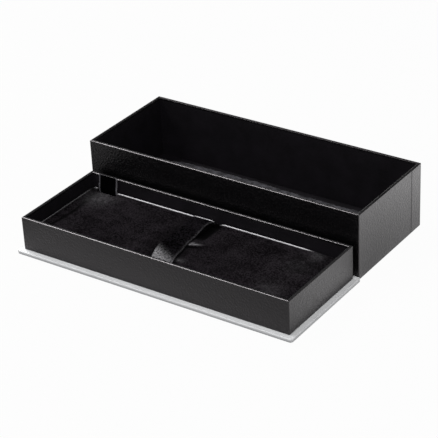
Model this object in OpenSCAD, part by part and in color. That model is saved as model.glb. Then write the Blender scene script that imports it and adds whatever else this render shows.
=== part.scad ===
// Lift-off pen case: a tray on a silver plate, an insert that lifts out by its ribbon, and a deep lid.
// The lid lies behind the tray on its top, with its opening up.
// Millimetres, +Z up, X along the case. The origin is the middle of the plate's underside.

/* [Base plate] */
// How far the plate reaches past the tray on every side
plate_reach = 3.2; // [2.5:0.1:6]
// Thickness of the plate's greyboard
plate_board_t = 1.8; // [1:0.1:3]
// Width of the silver paper turned in under the plate
plate_turn_in = 12; // [6:1:20]

/* [Tray] */
// Outer length of the tray
tray_l = 180; // [150:1:220]
// Outer width of the tray
tray_w = 66; // [54:1:90]
// Height of the tray above the plate
tray_h = 21; // [19:0.5:32]
// Width of the black paper turned in under the tray
tray_turn_in = 10; // [4:1:18]

/* [Board and paper] */
// Thickness of the greyboard in the walls and floors
board_t = 1.5; // [1:0.1:2.5]
// Thickness of the covering and lining papers
paper_t = 0.2; // [0.15:0.01:0.3]
// Depth of the covering paper turned in over a rim
rim_lip = 1.2; // [0.6:0.1:3]
// Thickness of the corner tapes under the covering paper
stay_t = 0.1; // [0.05:0.01:0.12]
// Reach of a corner tape along each wall
stay_leg = 12; // [6:1:18]

/* [Insert] */
// Depth of the insert's raised edge below the tray's rim
insert_drop = 8.5; // [7:0.1:9.5]
// Gap between the insert and the tray's lining
insert_gap = 0.5; // [0.4:0.1:1.5]
// Gap between the insert's legs and the tray's floor
seat_gap = 0.1; // [0.05:0.05:0.3]
// Thickness of the card and its legs
card_t = 1.2; // [0.8:0.1:1.8]
// Thickness of the foam sheet
foam_t = 2.5; // [1.5:0.1:3.2]
// Thickness of the velvet with its backing, at the bottom of the dish
velvet_t = 0.9; // [0.7:0.1:1.2]
// Depth of the velvet's dish below its raised edge
dish_depth = 1.2; // [0.6:0.1:1.8]
// Width of the slope from the raised edge to the dish
dish_slope = 3.4; // [2:0.1:6]
// Corner radius of the velvet pad
velvet_r = 4; // [2:0.5:8]

/* [Pen strap] */
// Width of the strap
strap_w = 14; // [8:0.5:20]
// Thickness of the strap
strap_t = 0.8; // [0.5:0.1:1]
// Place of the strap's rear end along the case
strap_x = -6.5; // [-30:0.5:30]
// How far the front loop drifts along the case
strap_drift = 8; // [-10:0.5:12]
// Place of the sewn row across the case
tack_y = 3; // [-6:0.5:6]
// Clear height under the crown of a loop
loop_rise = 2.3; // [2:0.1:5.6]
// Clearance round the strap where it passes through the pad
strap_clear = 0.2; // [0.1:0.05:0.4]
// Length of one stitch in the sewn row
stitch_l = 1.6; // [1:0.1:2]
// Spacing of the stitches
stitch_pitch = 2.6; // [2.2:0.1:4]
// Thickness of the sewing thread
thread_t = 0.35; // [0.2:0.05:0.5]

/* [Lift ribbon] */
// Width of the ribbon
ribbon_w = 13.5; // [8:0.5:18]
// Thickness of the ribbon
ribbon_t = 0.4; // [0.3:0.05:0.5]
// Distance from the insert's left edge to the ribbon
ribbon_in = 4.6; // [4.5:0.1:30]
// Height of the ribbon's end above the tray's rim
ribbon_stand = 0.5; // [0:0.1:4]
// Gap between the ribbon and the tray's rear lining
ribbon_gap = 0.35; // [0.3:0.05:0.6]
// Depth of the notch for the ribbon in the insert's rear edge
notch_depth = 3.2; // [2.6:0.1:6]
// Side clearance of the ribbon in its notch
notch_clear = 0.4; // [0.2:0.1:1]

/* [Lid] */
// Outer height of the lid
lid_h = 41; // [32:0.5:60]
// Gap between the lid and the tray when the case is closed
lid_gap = 0.4; // [0.3:0.1:1]
// Sideways place of the lid behind the tray
lid_x = -0.5; // [-10:0.5:10]
// Space between the plate and the lid where they lie
lid_space = 0.3; // [0.3:0.1:20]
// Width of the lap where the lid's paper band closes
seam_lap = 11; // [6:0.5:20]
// Height of the lap above the paper round it
lap_t = 0.12; // [0.08:0.01:0.2]
// Thickness of the foam in the lid
lid_foam_t = 0.6; // [0.4:0.1:4]
// Thickness of the lid pad's cover at its edge
lid_cover_t = 0.3; // [0.3:0.1:1.5]
// Crown of the lid pad over its edge
lid_crown = 0.6; // [0.3:0.1:3]
// Gap between the lid pad and the lid's lining
lid_pad_gap = 2; // [0.3:0.1:4]
// Corner radius of the lid pad
lid_pad_r = 4; // [2:0.5:8]

/* [Hidden] */

// Overcut that keeps a cut clear of the face it passes through
cut = 1;
// Finished thickness of a papered wall
wall_t = board_t + 2 * paper_t;

// Plate
plate_l = tray_l + 2 * plate_reach;
plate_w = tray_w + 2 * plate_reach;
plate_t = plate_board_t + 2 * paper_t;

// Tray
tray_rim_z = plate_t + tray_h;
tray_board_z = plate_t + paper_t;
tray_floor_z = tray_board_z + board_t + paper_t;
tray_in_l = tray_l - 2 * wall_t;
tray_in_w = tray_w - 2 * wall_t;

// Insert, from the raised edge down
insert_hx = tray_in_l / 2 - insert_gap;
insert_hy = tray_in_w / 2 - insert_gap;
crest_z = tray_rim_z - insert_drop;
dish_z = crest_z - dish_depth;
velvet_z = dish_z - velvet_t;
card_z = velvet_z - foam_t - card_t;
seat_z = tray_floor_z + seat_gap;
// The strap's tails are glued to the outer faces of the legs, inside the insert's outline
leg_face_y = insert_hy - strap_t;

// Velvet surface
// Roll of the velvet's edge
edge_roll = 0.5;
edge_roll_w = 0.9;
// Sag of the pad at its rear right corner
corner_sag = 1.1;
corner_sag_reach = 16;
// Pull of the sewn row on the velvet, and the fold that runs out from it
tack_pull = 0.35;
tack_pull_r = 5;
fold_h = 0.5;
fold_l = 18;
fold_w = 2.6;
// Plump of each half of the pad between the strap and the end
pad_plump = 0.3;
// Grid over the pad along and across the case
velvet_nx = 40;
velvet_ny = 18;
lid_pad_nx = 28;
lid_pad_ny = 12;
// Share of a grid's spacing that gathers rows towards the edges
grid_gather = 0.5;

// Strap
// Rest of the strap above the velvet it lies on
strap_lie = 0.15;
// Bend of the strap over the insert's edge, at its middle line
strap_bend_r = 1;
strap_bend_steps = 5;
loop_steps = 20;
// Fullness of a loop's arch
loop_full = 0.8;
// Half of the run that the sewn row holds flat
tack_half = 1;
// End of the tails above the legs' feet
tail_up = 0.8;

// Ribbon
// Height over which the ribbon leans from the leg to the wall
ribbon_lean_h = 4;
ribbon_steps = 8;

// Lid
lid_l = tray_l + 2 * (lid_gap + wall_t);
lid_w = tray_w + 2 * (lid_gap + wall_t);
lid_y = plate_w / 2 + lid_space + lid_w / 2;
lid_floor_z = paper_t + board_t;
lid_in_l = lid_l - 2 * wall_t;
lid_in_w = lid_w - 2 * wall_t;
lid_pad_hx = lid_in_l / 2 - lid_pad_gap;
lid_pad_hy = lid_in_w / 2 - lid_pad_gap;
lid_foam_z = lid_floor_z + lid_foam_t;

// Colours
silver = "#c9cacc";
black_grain = "#26262a";
black_lining = "#19191b";
board_grey = "#8d8a84";
tape_brown = "#a58a63";
velvet_black = "#1c1b1f";
satin_black = "#0e0e11";
foam_grey = "#4a4a4c";
cover_grey = "#47464b";

// Block of a length and width about the Z axis between two heights
module block(l, w, z0, z1) {
    translate([-l / 2, -w / 2, z0]) cube([l, w, z1 - z0]);
}

// Block with round corners of radius r in plan
module round_block(l, w, r, z0, z1) {
    block(l - 2 * r, w, z0, z1);
    block(l, w - 2 * r, z0, z1);
    for (sx = [-1, 1])
        for (sy = [-1, 1])
            translate([sx * (l / 2 - r), sy * (w / 2 - r), z0])
                cylinder(r = r, h = z1 - z0, $fn = 48);
}

// Rectangular ring of outer size l by w and wall t between two heights
module ring(l, w, t, z0, z1) {
    difference() {
        block(l, w, z0, z1);
        block(l - 2 * t, w - 2 * t, z0 - cut, z1 + cut);
    }
}

// Long wall board of a box of outer size l by w, at the front (-1) or the rear (1)
module long_wall(l, w, side, z0, z1) {
    translate([0, side * (w / 2 - paper_t - board_t / 2), 0])
        block(l - 2 * paper_t, board_t, z0, z1);
}

// End wall board, which fits between the two long walls, at the left (-1) or the right (1)
module end_wall(l, w, side, z0, z1) {
    translate([side * (l / 2 - paper_t - board_t / 2), 0, 0])
        block(board_t, w - 2 * (paper_t + board_t), z0, z1);
}

// Four corner tapes round the outside of the wall boards
module stays(l, w, z0, z1) {
    out = 2 * (paper_t - stay_t);
    intersection() {
        ring(l - out, w - out, stay_t, z0, z1);
        for (sx = [-1, 1])
            for (sy = [-1, 1])
                translate([sx * l / 2, sy * w / 2, 0])
                    block(2 * stay_leg, 2 * stay_leg, z0, z1);
    }
}

// Covering paper round the outside of a box, over its rim and into its mouth
module band(l, w, z0, rim_z) {
    inner = 2 * (paper_t + board_t);
    ring(l, w, paper_t, z0, rim_z);
    ring(l, w, wall_t, rim_z - paper_t, rim_z);
    ring(l - inner, w - inner, paper_t, rim_z - rim_lip, rim_z);
}

// Lining paper on the inner faces of a box's walls, up to the covering paper's lip
module lining(l, w, z0, rim_z) {
    inner = 2 * (paper_t + board_t);
    ring(l - inner, w - inner, paper_t, z0, rim_z - rim_lip);
}

// Smooth step from 0 to 1
function ease(t) = t <= 0 ? 0 : t >= 1 ? 1 : t * t * (3 - 2 * t);

// Bell of height 1 and radius r at a distance d from its middle
function bell(d, r) = exp(-(d * d) / (r * r));

// Grid place from -half to half, gathered towards both ends
function spread(i, n, half) =
    let(u = 2 * i / n - 1)
    half * ((1 - grid_gather) * u + grid_gather * sin(90 * u));

// Square grid point moved into a rectangle with round corners of radius r
function round_corner(x, y, hx, hy, r) =
    let(a = (abs(x) - hx + r) / r, b = (abs(y) - hy + r) / r)
    a <= 0 || b <= 0 ? [x, y] :
    [sign(x) * (hx - r + r * a * sqrt(1 - b * b / 2)), sign(y) * (hy - r + r * b * sqrt(1 - a * a / 2))];

// Distance in from the edge of a rectangle with round corners
function edge_in(x, y, hx, hy, r) =
    let(a = abs(x) - hx + r, b = abs(y) - hy + r)
    a > 0 && b > 0 ? r - norm([a, b]) : min(hx - abs(x), hy - abs(y));

// Height of the velvet's surface
function velvet_top(x, y) =
    let(
        d = edge_in(x, y, insert_hx, insert_hy, velvet_r),
        along = x - strap_x - strap_w / 2,
        half_l = insert_hx - abs(strap_x)
    )
    crest_z
    - dish_depth * ease((d - edge_roll_w) / dish_slope)
    - edge_roll * (1 - ease(d / edge_roll_w))
    - corner_sag * bell(norm([x - insert_hx, y - insert_hy]), corner_sag_reach) * (1 - ease(d / dish_slope))
    + pad_plump * ease(d / dish_slope - 1) * pow(sin(180 * min(1, abs(x - strap_x) / half_l)), 2)
    - tack_pull * bell(norm([(x - strap_x) / 2, y - tack_y]), tack_pull_r)
    + (along < 0 ? 0 : fold_h * bell(y - tack_y, fold_w) * ease(along / fold_w) * (1 - ease(along / fold_l)));

// Height of the lid pad's surface
function lid_pad_top(x, y) =
    let(d = edge_in(x, y, lid_pad_hx, lid_pad_hy, lid_pad_r))
    lid_foam_z + lid_cover_t + lid_crown * sqrt(ease(d / (lid_pad_hy / 2)));

// Closed pad with a flat underside, from a grid of top points
module pad(tops, nx, ny, under_z) {
    row = nx + 1;
    count = row * (ny + 1);
    rim = concat(
        [for (i = [0:nx - 1]) i],
        [for (j = [0:ny - 1]) j * row + nx],
        [for (i = [0:nx - 1]) ny * row + nx - i],
        [for (j = [0:ny - 1]) (ny - j) * row]
    );
    m = len(rim);
    points = concat(tops, [for (i = rim) [tops[i][0], tops[i][1], under_z]]);
    faces = concat(
        [for (j = [0:ny - 1]) for (i = [0:nx - 1]) [j * row + i, (j + 1) * row + i, (j + 1) * row + i + 1]],
        [for (j = [0:ny - 1]) for (i = [0:nx - 1]) [j * row + i, (j + 1) * row + i + 1, j * row + i + 1]],
        [for (k = [0:m - 1]) [rim[k], rim[(k + 1) % m], count + (k + 1) % m]],
        [for (k = [0:m - 1]) [rim[k], count + (k + 1) % m, count + k]],
        [[for (k = [0:m - 1]) count + k]]
    );
    polyhedron(points = points, faces = faces);
}

// Points of a pad's top over a rectangle with round corners
function pad_places(nx, ny, hx, hy, r) =
    [for (j = [0:ny]) for (i = [0:nx]) round_corner(spread(i, nx, hx), spread(j, ny, hy), hx, hy, r)];

// Place of the strap along the case: straight behind the sewn row, drifting in front of it
function strap_at(y) = strap_x + strap_drift * max(0, (tack_y - y) / (tack_y + insert_hy));

// Middle line of the strap in the YZ plane, from the rear tail to the front tail
strap_mid = strap_t / 2;
tail_y = insert_hy - strap_mid;
over_z = crest_z + strap_lie + strap_mid;
tack_z = dish_z + strap_lie + strap_mid;
bend_y = tail_y - strap_bend_r;

// Path of one loop: from the bend over the edge on one side (1 rear, -1 front) to the sewn row
function loop_path(side) = [for (i = [0:loop_steps])
    let(
        s = i / loop_steps,
        run = tack_y + side * (tack_half - bend_y),
        lift = dish_z + strap_lie + strap_mid + loop_rise - (over_z + tack_z) / 2
    )
    [side * bend_y + run * s, over_z + (tack_z - over_z) * s + lift * pow(sin(180 * s), loop_full)]
];

// Tail and bend on one side, from the tail's end up
function tail_path(side) = concat(
    [[side * tail_y, seat_z + tail_up]],
    [for (k = [0:strap_bend_steps - 1])
        let(a = 90 * k / strap_bend_steps)
        [side * (bend_y + strap_bend_r * cos(a)), over_z - strap_bend_r + strap_bend_r * sin(a)]]
);

function reversed(list) = [for (i = [len(list) - 1:-1:0]) list[i]];

strap_path = concat(tail_path(1), loop_path(1), reversed(loop_path(-1)), reversed(tail_path(-1)));

// Middle line of the ribbon in the YZ plane, from the rear leg up to its end above the rim
ribbon_low_y = leg_face_y + ribbon_t / 2;
ribbon_high_y = tray_in_w / 2 - ribbon_gap - ribbon_t / 2;
ribbon_end_z = tray_rim_z + ribbon_stand;
ribbon_path = concat(
    [[ribbon_low_y, seat_z + tail_up]],
    [for (i = [0:ribbon_steps])
        let(s = i / ribbon_steps)
        [ribbon_low_y + (ribbon_high_y - ribbon_low_y) * ease(s), crest_z + ribbon_lean_h * s]],
    [[ribbon_high_y, ribbon_end_z]]
);
ribbon_x = -insert_hx + ribbon_in + ribbon_w / 2;

// Direction square to a path at one of its points
function square_to(path, i) =
    let(v = path[min(i + 1, len(path) - 1)] - path[max(i - 1, 0)])
    [-v[1], v[0]] / norm(v);

// Flat strip of width w and thickness t along a path in the YZ plane, at the X places in the list
module strip(path, places, w, t) {
    last = len(path) - 1;
    points = [for (i = [0:last]) let(n = square_to(path, i) * t / 2) each [
        [places[i] - w / 2, path[i][0] + n[0], path[i][1] + n[1]],
        [places[i] + w / 2, path[i][0] + n[0], path[i][1] + n[1]],
        [places[i] + w / 2, path[i][0] - n[0], path[i][1] - n[1]],
        [places[i] - w / 2, path[i][0] - n[0], path[i][1] - n[1]]
    ]];
    faces = concat(
        [[0, 1, 2], [0, 2, 3]],
        [for (i = [0:last - 1]) for (k = [0:3])
            [4 * i + k, 4 * i + 4 + k, 4 * i + 4 + (k + 1) % 4]],
        [for (i = [0:last - 1]) for (k = [0:3])
            [4 * i + k, 4 * i + 4 + (k + 1) % 4, 4 * i + (k + 1) % 4]],
        [[4 * last, 4 * last + 2, 4 * last + 1], [4 * last, 4 * last + 3, 4 * last + 2]]
    );
    polyhedron(points = points, faces = faces);
}

// Cuts in the pad's edge for the strap's two tails and for the ribbon
module edge_cuts(z0, z1) {
    slot_w = strap_w + 2 * strap_clear;
    slot_d = strap_t + strap_clear + strap_bend_r;
    for (side = [-1, 1])
        translate([strap_at(side * insert_hy), side * (insert_hy + cut - (slot_d + cut) / 2), 0])
            block(slot_w, slot_d + cut, z0 - cut, z1 + cut);
    translate([ribbon_x, insert_hy + cut - (notch_depth + cut) / 2, 0])
        block(ribbon_w + 2 * notch_clear, notch_depth + cut, z0 - cut, z1 + cut);
}

module base_board() {
    color(board_grey)
        block(plate_l - 2 * paper_t, plate_w - 2 * paper_t, paper_t, plate_t - paper_t);
}

module base_cover() {
    color(silver) difference() {
        block(plate_l, plate_w, 0, plate_t);
        block(plate_l - 2 * paper_t, plate_w - 2 * paper_t, paper_t, plate_t - paper_t);
        block(plate_l - 2 * plate_turn_in, plate_w - 2 * plate_turn_in, -cut, plate_t / 2);
    }
}

module base_underside_sheet() {
    color(silver)
        block(plate_l - 2 * plate_turn_in, plate_w - 2 * plate_turn_in, 0, paper_t);
}

module tray_floor_board() {
    inset = 2 * (paper_t + board_t);
    color(board_grey)
        block(tray_l - inset, tray_w - inset, tray_board_z, tray_board_z + board_t);
}

module tray_front_wall() {
    color(board_grey) long_wall(tray_l, tray_w, -1, tray_board_z, tray_rim_z - paper_t);
}

module tray_rear_wall() {
    color(board_grey) long_wall(tray_l, tray_w, 1, tray_board_z, tray_rim_z - paper_t);
}

module tray_left_wall() {
    color(board_grey) end_wall(tray_l, tray_w, -1, tray_board_z, tray_rim_z - paper_t);
}

module tray_right_wall() {
    color(board_grey) end_wall(tray_l, tray_w, 1, tray_board_z, tray_rim_z - paper_t);
}

module tray_corner_stays() {
    color(tape_brown) stays(tray_l, tray_w, tray_board_z, tray_rim_z - paper_t);
}

module tray_wrap() {
    color(black_grain) difference() {
        union() {
            band(tray_l, tray_w, plate_t, tray_rim_z);
            ring(tray_l, tray_w, paper_t + tray_turn_in, plate_t, plate_t + paper_t);
        }
        stays(tray_l, tray_w, tray_board_z, tray_rim_z - paper_t);
    }
}

module tray_lining() {
    color(black_lining) lining(tray_l, tray_w, tray_floor_z, tray_rim_z);
}

module tray_floor_sheet() {
    inset = 2 * (paper_t + board_t);
    color(black_lining)
        block(tray_l - inset, tray_w - inset, tray_floor_z - paper_t, tray_floor_z);
}

module insert_card() {
    color(board_grey) difference() {
        round_block(2 * insert_hx, 2 * insert_hy, velvet_r, card_z, card_z + card_t);
        edge_cuts(card_z, card_z + card_t);
    }
}

module insert_leg(side) {
    color(board_grey)
        translate([0, side * (leg_face_y - card_t / 2), 0])
            block(2 * (insert_hx - velvet_r), card_t, seat_z, card_z);
}

module insert_front_leg() {
    insert_leg(-1);
}

module insert_rear_leg() {
    insert_leg(1);
}

module insert_foam() {
    color(foam_grey) difference() {
        round_block(2 * insert_hx - velvet_t, 2 * insert_hy - velvet_t, velvet_r, card_z + card_t, velvet_z);
        edge_cuts(card_z, velvet_z);
    }
}

module insert_velvet() {
    places = pad_places(velvet_nx, velvet_ny, insert_hx, insert_hy, velvet_r);
    color(velvet_black) difference() {
        pad([for (q = places) [q[0], q[1], velvet_top(q[0], q[1])]], velvet_nx, velvet_ny, velvet_z);
        edge_cuts(velvet_z, crest_z);
    }
}

module pen_strap() {
    color(velvet_black)
        strip(strap_path, [for (q = strap_path) strap_at(q[0])], strap_w, strap_t);
}

module strap_stitches() {
    count = floor((strap_w - stitch_l) / stitch_pitch);
    color(satin_black)
        for (i = [0:count])
            translate([strap_x + (i - count / 2) * stitch_pitch, tack_y, tack_z + strap_mid])
                block(stitch_l, thread_t, 0, thread_t);
}

module lift_ribbon() {
    color(satin_black)
        strip(ribbon_path, [for (q = ribbon_path) ribbon_x], ribbon_w, ribbon_t);
}

// Place of the lid behind the tray
module at_lid() {
    translate([lid_x, lid_y, 0]) children();
}

module lid_top_sheet() {
    color(black_grain) at_lid() block(lid_l, lid_w, 0, paper_t);
}

module lid_top_board() {
    inset = 2 * (paper_t + board_t);
    color(board_grey) at_lid() block(lid_l - inset, lid_w - inset, paper_t, lid_floor_z);
}

module lid_front_wall() {
    color(board_grey) at_lid() long_wall(lid_l, lid_w, -1, paper_t, lid_h - paper_t);
}

module lid_rear_wall() {
    color(board_grey) at_lid() long_wall(lid_l, lid_w, 1, paper_t, lid_h - paper_t);
}

module lid_left_wall() {
    color(board_grey) at_lid() end_wall(lid_l, lid_w, -1, paper_t, lid_h - paper_t);
}

module lid_right_wall() {
    color(board_grey) at_lid() end_wall(lid_l, lid_w, 1, paper_t, lid_h - paper_t);
}

module lid_corner_stays() {
    color(tape_brown) at_lid() stays(lid_l, lid_w, paper_t, lid_h - paper_t);
}

module lid_wrap() {
    color(black_grain) at_lid() difference() {
        union() {
            band(lid_l, lid_w, paper_t, lid_h);
            translate([lid_l / 2 - paper_t, lid_w / 2 - seam_lap, paper_t])
                cube([paper_t + lap_t, seam_lap, lid_h - paper_t]);
        }
        stays(lid_l, lid_w, paper_t, lid_h - paper_t);
    }
}

module lid_lining() {
    color(black_lining) at_lid() lining(lid_l, lid_w, lid_floor_z, lid_h);
}

module lid_pad_foam() {
    color(foam_grey) at_lid()
        round_block(
            2 * (lid_pad_hx - lid_cover_t), 2 * (lid_pad_hy - lid_cover_t), lid_pad_r, lid_floor_z, lid_foam_z
        );
}

module lid_pad_cover() {
    places = pad_places(lid_pad_nx, lid_pad_ny, lid_pad_hx, lid_pad_hy, lid_pad_r);
    color(cover_grey) at_lid()
        pad([for (q = places) [q[0], q[1], lid_pad_top(q[0], q[1])]], lid_pad_nx, lid_pad_ny, lid_foam_z);
}

base_board();
base_cover();
base_underside_sheet();
tray_floor_board();
tray_front_wall();
tray_rear_wall();
tray_left_wall();
tray_right_wall();
tray_corner_stays();
tray_wrap();
tray_lining();
tray_floor_sheet();
insert_card();
insert_front_leg();
insert_rear_leg();
insert_foam();
insert_velvet();
pen_strap();
strap_stitches();
lift_ribbon();
lid_top_sheet();
lid_top_board();
lid_front_wall();
lid_rear_wall();
lid_left_wall();
lid_right_wall();
lid_corner_stays();
lid_wrap();
lid_lining();
lid_pad_foam();
lid_pad_cover();
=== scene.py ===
"""Looks of a lift-off pen case: a papered tray on a silver plate, a velvet insert and a deep lid behind them.

Sizes in this file are millimetres and become metres when a mesh is made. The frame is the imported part's: the
origin is the middle of the plate's underside, X runs along the case, Y to the rear and Z up.
"""

import logging
import math
from dataclasses import dataclass, field
from enum import Enum
from typing import Callable, Iterable, Sequence

import bpy
from bpy.types import Material, Node, NodeSocket, NodeTree, Object
from mathutils import Matrix, Vector, noise


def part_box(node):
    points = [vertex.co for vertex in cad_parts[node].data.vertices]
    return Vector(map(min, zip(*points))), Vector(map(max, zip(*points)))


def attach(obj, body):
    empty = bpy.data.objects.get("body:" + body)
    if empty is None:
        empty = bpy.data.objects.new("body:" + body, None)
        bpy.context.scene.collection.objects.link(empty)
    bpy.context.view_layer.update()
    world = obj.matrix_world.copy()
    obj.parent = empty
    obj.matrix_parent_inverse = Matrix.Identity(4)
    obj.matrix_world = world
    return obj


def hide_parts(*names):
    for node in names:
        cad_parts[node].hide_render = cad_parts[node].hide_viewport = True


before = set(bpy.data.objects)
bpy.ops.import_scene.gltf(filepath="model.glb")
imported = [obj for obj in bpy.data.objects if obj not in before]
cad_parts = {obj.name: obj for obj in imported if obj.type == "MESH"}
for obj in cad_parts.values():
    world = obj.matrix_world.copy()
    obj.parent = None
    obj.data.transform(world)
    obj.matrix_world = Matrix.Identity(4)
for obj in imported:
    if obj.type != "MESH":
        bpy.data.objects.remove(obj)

LOG = logging.getLogger("pen_case")
MM = 0.001
IMAGE_PX = 438
SENSOR_MM = 36.0

Flat = tuple[float, float]
Place = tuple[float, float, float]
Colour = tuple[float, float, float, float]


class Body(str, Enum):
    """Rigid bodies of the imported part."""

    BASE = "base"
    INSERT = "insert"
    LID = "lid"


class End(Enum):
    """Long side of the case on which a strap or a leg ends."""

    FRONT = -1
    REAR = 1


class Patch(str, Enum):
    """Names of the point attributes that carry wear with painted rim highlights, painted highlights, painted
    shade and painted edge highlights to the materials.
    """

    WEAR_AND_HIGHLIGHT = "wear"
    PAINTED_HIGHLIGHT = "fold"
    PAINTED_SHADE = "pressed"
    EDGE_HIGHLIGHT = "selvedge"


# Small mathematics


def linear(hex_colour: str) -> Colour:
    """Turns an sRGB hex colour into linear values.

    Args:
        hex_colour: Six hex digits after a #.

    Returns:
        Red, green, blue and an alpha of 1.
    """
    values = [int(hex_colour[i:i + 2], 16) / 255 for i in (1, 3, 5)]
    red, green, blue = [v / 12.92 if v <= 0.04045 else ((v + 0.055) / 1.055) ** 2.4 for v in values]
    return red, green, blue, 1.0


def per_metre(size_mm: float) -> float:
    """Scale of a texture whose cells are this many millimetres wide."""
    return 1 / (size_mm * MM)


def ease(t: float) -> float:
    """Smooth step from 0 to 1."""
    t = min(1.0, max(0.0, t))
    return t * t * (3 - 2 * t)


def bell(d: float, r: float) -> float:
    """Bell of height 1 and radius r at a distance d from its middle."""
    return math.exp(-(d * d) / (r * r))


def wobble(x: float, y: float, size: float, seed: float) -> float:
    """Smooth noise from about -1 to 1 whose humps are about size millimetres apart."""
    return noise.noise(Vector((x / size, y / size, seed)))


def waves(x: float, y: float, parts: Sequence[Place]) -> float:
    """Sum of wobbles at a place, each given as its height, its size and its seed."""
    return sum(height * wobble(x, y, size, seed) for height, size, seed in parts)


@dataclass(frozen=True)
class Spot:
    """Round spot with a soft edge: its middle, its radius and its strength."""

    x: float
    y: float
    r: float
    share: float = 1.0

    def at(self, x: float, y: float) -> float:
        """Strength at a place."""
        return self.share * bell(math.hypot(x - self.x, y - self.y), self.r)


@dataclass(frozen=True)
class Ramp:
    """Soft step from 0 to 1: where it starts and how long it is."""

    start: float
    length: float

    def at(self, v: float) -> float:
        """Value at a place."""
        return ease((v - self.start) / self.length)


@dataclass(frozen=True)
class Fade:
    """Straight run from one level to another while the input goes from start to stop."""

    start: float
    stop: float
    low: float = 0.0
    high: float = 1.0

    def settings(self) -> dict[str, float]:
        """The run as settings of a Map Range node."""
        return {"From Min": self.start, "From Max": self.stop, "To Min": self.low, "To Max": self.high}


def edge_in(x: float, y: float, hx: float, hy: float, r: float) -> float:
    """Distance in from the edge of a rectangle with round corners.

    Args:
        x, y: The point.
        hx, hy: Half sizes of the rectangle.
        r: Radius of its corners.

    Returns:
        The distance, below 0 outside.
    """
    a, b = abs(x) - hx + r, abs(y) - hy + r
    return r - math.hypot(a, b) if a > 0 and b > 0 else min(hx - abs(x), hy - abs(y))


def round_corner(x: float, y: float, hx: float, hy: float, r: float) -> Flat:
    """Moves a point of a square grid into a rectangle with round corners.

    Args:
        x, y: The grid point.
        hx, hy: Half sizes of the rectangle.
        r: Radius of its corners.

    Returns:
        The moved point.
    """
    a, b = (abs(x) - hx + r) / r, (abs(y) - hy + r) / r
    if a <= 0 or b <= 0:
        return x, y
    return (
        math.copysign(hx - r + r * a * math.sqrt(1 - b * b / 2), x),
        math.copysign(hy - r + r * b * math.sqrt(1 - a * a / 2), y),
    )


def graded(half: float, edge: float, fine: float, coarse: float, extra: Iterable[float] = ()) -> list[float]:
    """Grid places from -half to half, close together near both ends.

    Args:
        half: Half of the length.
        edge: Length of the fine stretch at each end.
        fine, coarse: Spacing near the ends and between them.
        extra: Places that the grid has to hold.

    Returns:
        The places in order.
    """
    ends = max(1, round(edge / fine))
    inner = max(1, round(2 * (half - edge) / coarse))
    places = [-half + edge * i / ends for i in range(ends)]
    places += [-half + edge + 2 * (half - edge) * i / inner for i in range(inner)]
    places += [half - edge + edge * i / ends for i in range(ends + 1)]
    extra = list(extra)
    kept = [p for p in places if all(abs(p - e) > fine / 3 for e in extra)]
    return sorted(kept + extra)


# Meshes


@dataclass
class Shape:
    """Points, faces and point attributes of a mesh under construction, in millimetres."""

    points: list[Place] = field(default_factory=list)
    faces: list[tuple[int, ...]] = field(default_factory=list)
    marks: dict[Patch, list[float]] = field(default_factory=dict)

    def join(self, other: "Shape") -> "Shape":
        """Adds another shape's points, faces and marks to this one.

        Args:
            other: The shape to add.

        Returns:
            This shape.
        """
        start = len(self.points)
        for patch in set(self.marks) | set(other.marks):
            mine = self.marks.setdefault(patch, [0.0] * start)
            mine.extend(other.marks.get(patch, [0.0] * len(other.points)))
        self.points += other.points
        self.faces += [tuple(start + i for i in f) for f in other.faces]
        return self

    def to_object(self, name: str, material: Material, smooth: bool = True) -> Object:
        """Makes the Blender object.

        Args:
            name: Name of the piece.
            material: Its finish.
            smooth: Whether its faces are shaded smooth.

        Returns:
            The object, linked to the scene.
        """
        mesh = bpy.data.meshes.new(name)
        mesh.from_pydata([(x * MM, y * MM, z * MM) for x, y, z in self.points], [], self.faces)
        for patch, values in self.marks.items():
            mesh.attributes.new(patch.value, "FLOAT", "POINT").data.foreach_set("value", values)
        mesh.polygons.foreach_set("use_smooth", [smooth] * len(mesh.polygons))
        mesh.materials.append(material)
        mesh.validate()
        mesh.update()
        made = bpy.data.objects.new(name, mesh)
        bpy.context.scene.collection.objects.link(made)
        return made


@dataclass(frozen=True)
class Outline:
    """Rectangle with round corners about a middle, and the stations along it."""

    hx: float
    hy: float
    r: float
    cx: float = 0.0
    cy: float = 0.0
    arc: int = 5
    inner_r: float = 0.25
    support: float = 0.2

    def stations(self, out: float) -> list[Flat]:
        """Points round the outline moved outwards, counter-clockwise from the front left.

        Args:
            out: How far outwards, below 0 for inwards.

        Returns:
            The same number of points for any distance.
        """
        hx, hy = self.hx + out, self.hy + out
        r = max(self.inner_r, self.r + out)
        found: list[Flat] = []
        corners = [
            (hx - r, -hy + r, -90), (hx - r, hy - r, 0), (-hx + r, hy - r, 90), (-hx + r, -hy + r, 180)
        ]
        for k, (x, y, turn) in enumerate(corners):
            px, py, before = corners[k - 1]
            start = self.arc_point(px, py, r, before + 90)
            stop = self.arc_point(x, y, r, turn)
            length = math.dist(start, stop)
            for s in (self.support / length, 1 - self.support / length):
                found.append((start[0] + (stop[0] - start[0]) * s, start[1] + (stop[1] - start[1]) * s))
            found += [self.arc_point(x, y, r, turn + 90 * i / self.arc) for i in range(self.arc + 1)]
        return [(self.cx + x, self.cy + y) for x, y in found]

    @staticmethod
    def arc_point(x: float, y: float, r: float, degrees: float) -> Flat:
        """Point of a corner's arc."""
        a = math.radians(degrees)
        return x + r * math.cos(a), y + r * math.sin(a)


@dataclass(frozen=True)
class Step:
    """One point of a wrap's section: how far out it lies, its height, and how worn the paper is there; on rims
    and corners this also paints highlight lines.
    """

    out: float
    z: float
    wear: float = 0.0


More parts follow.
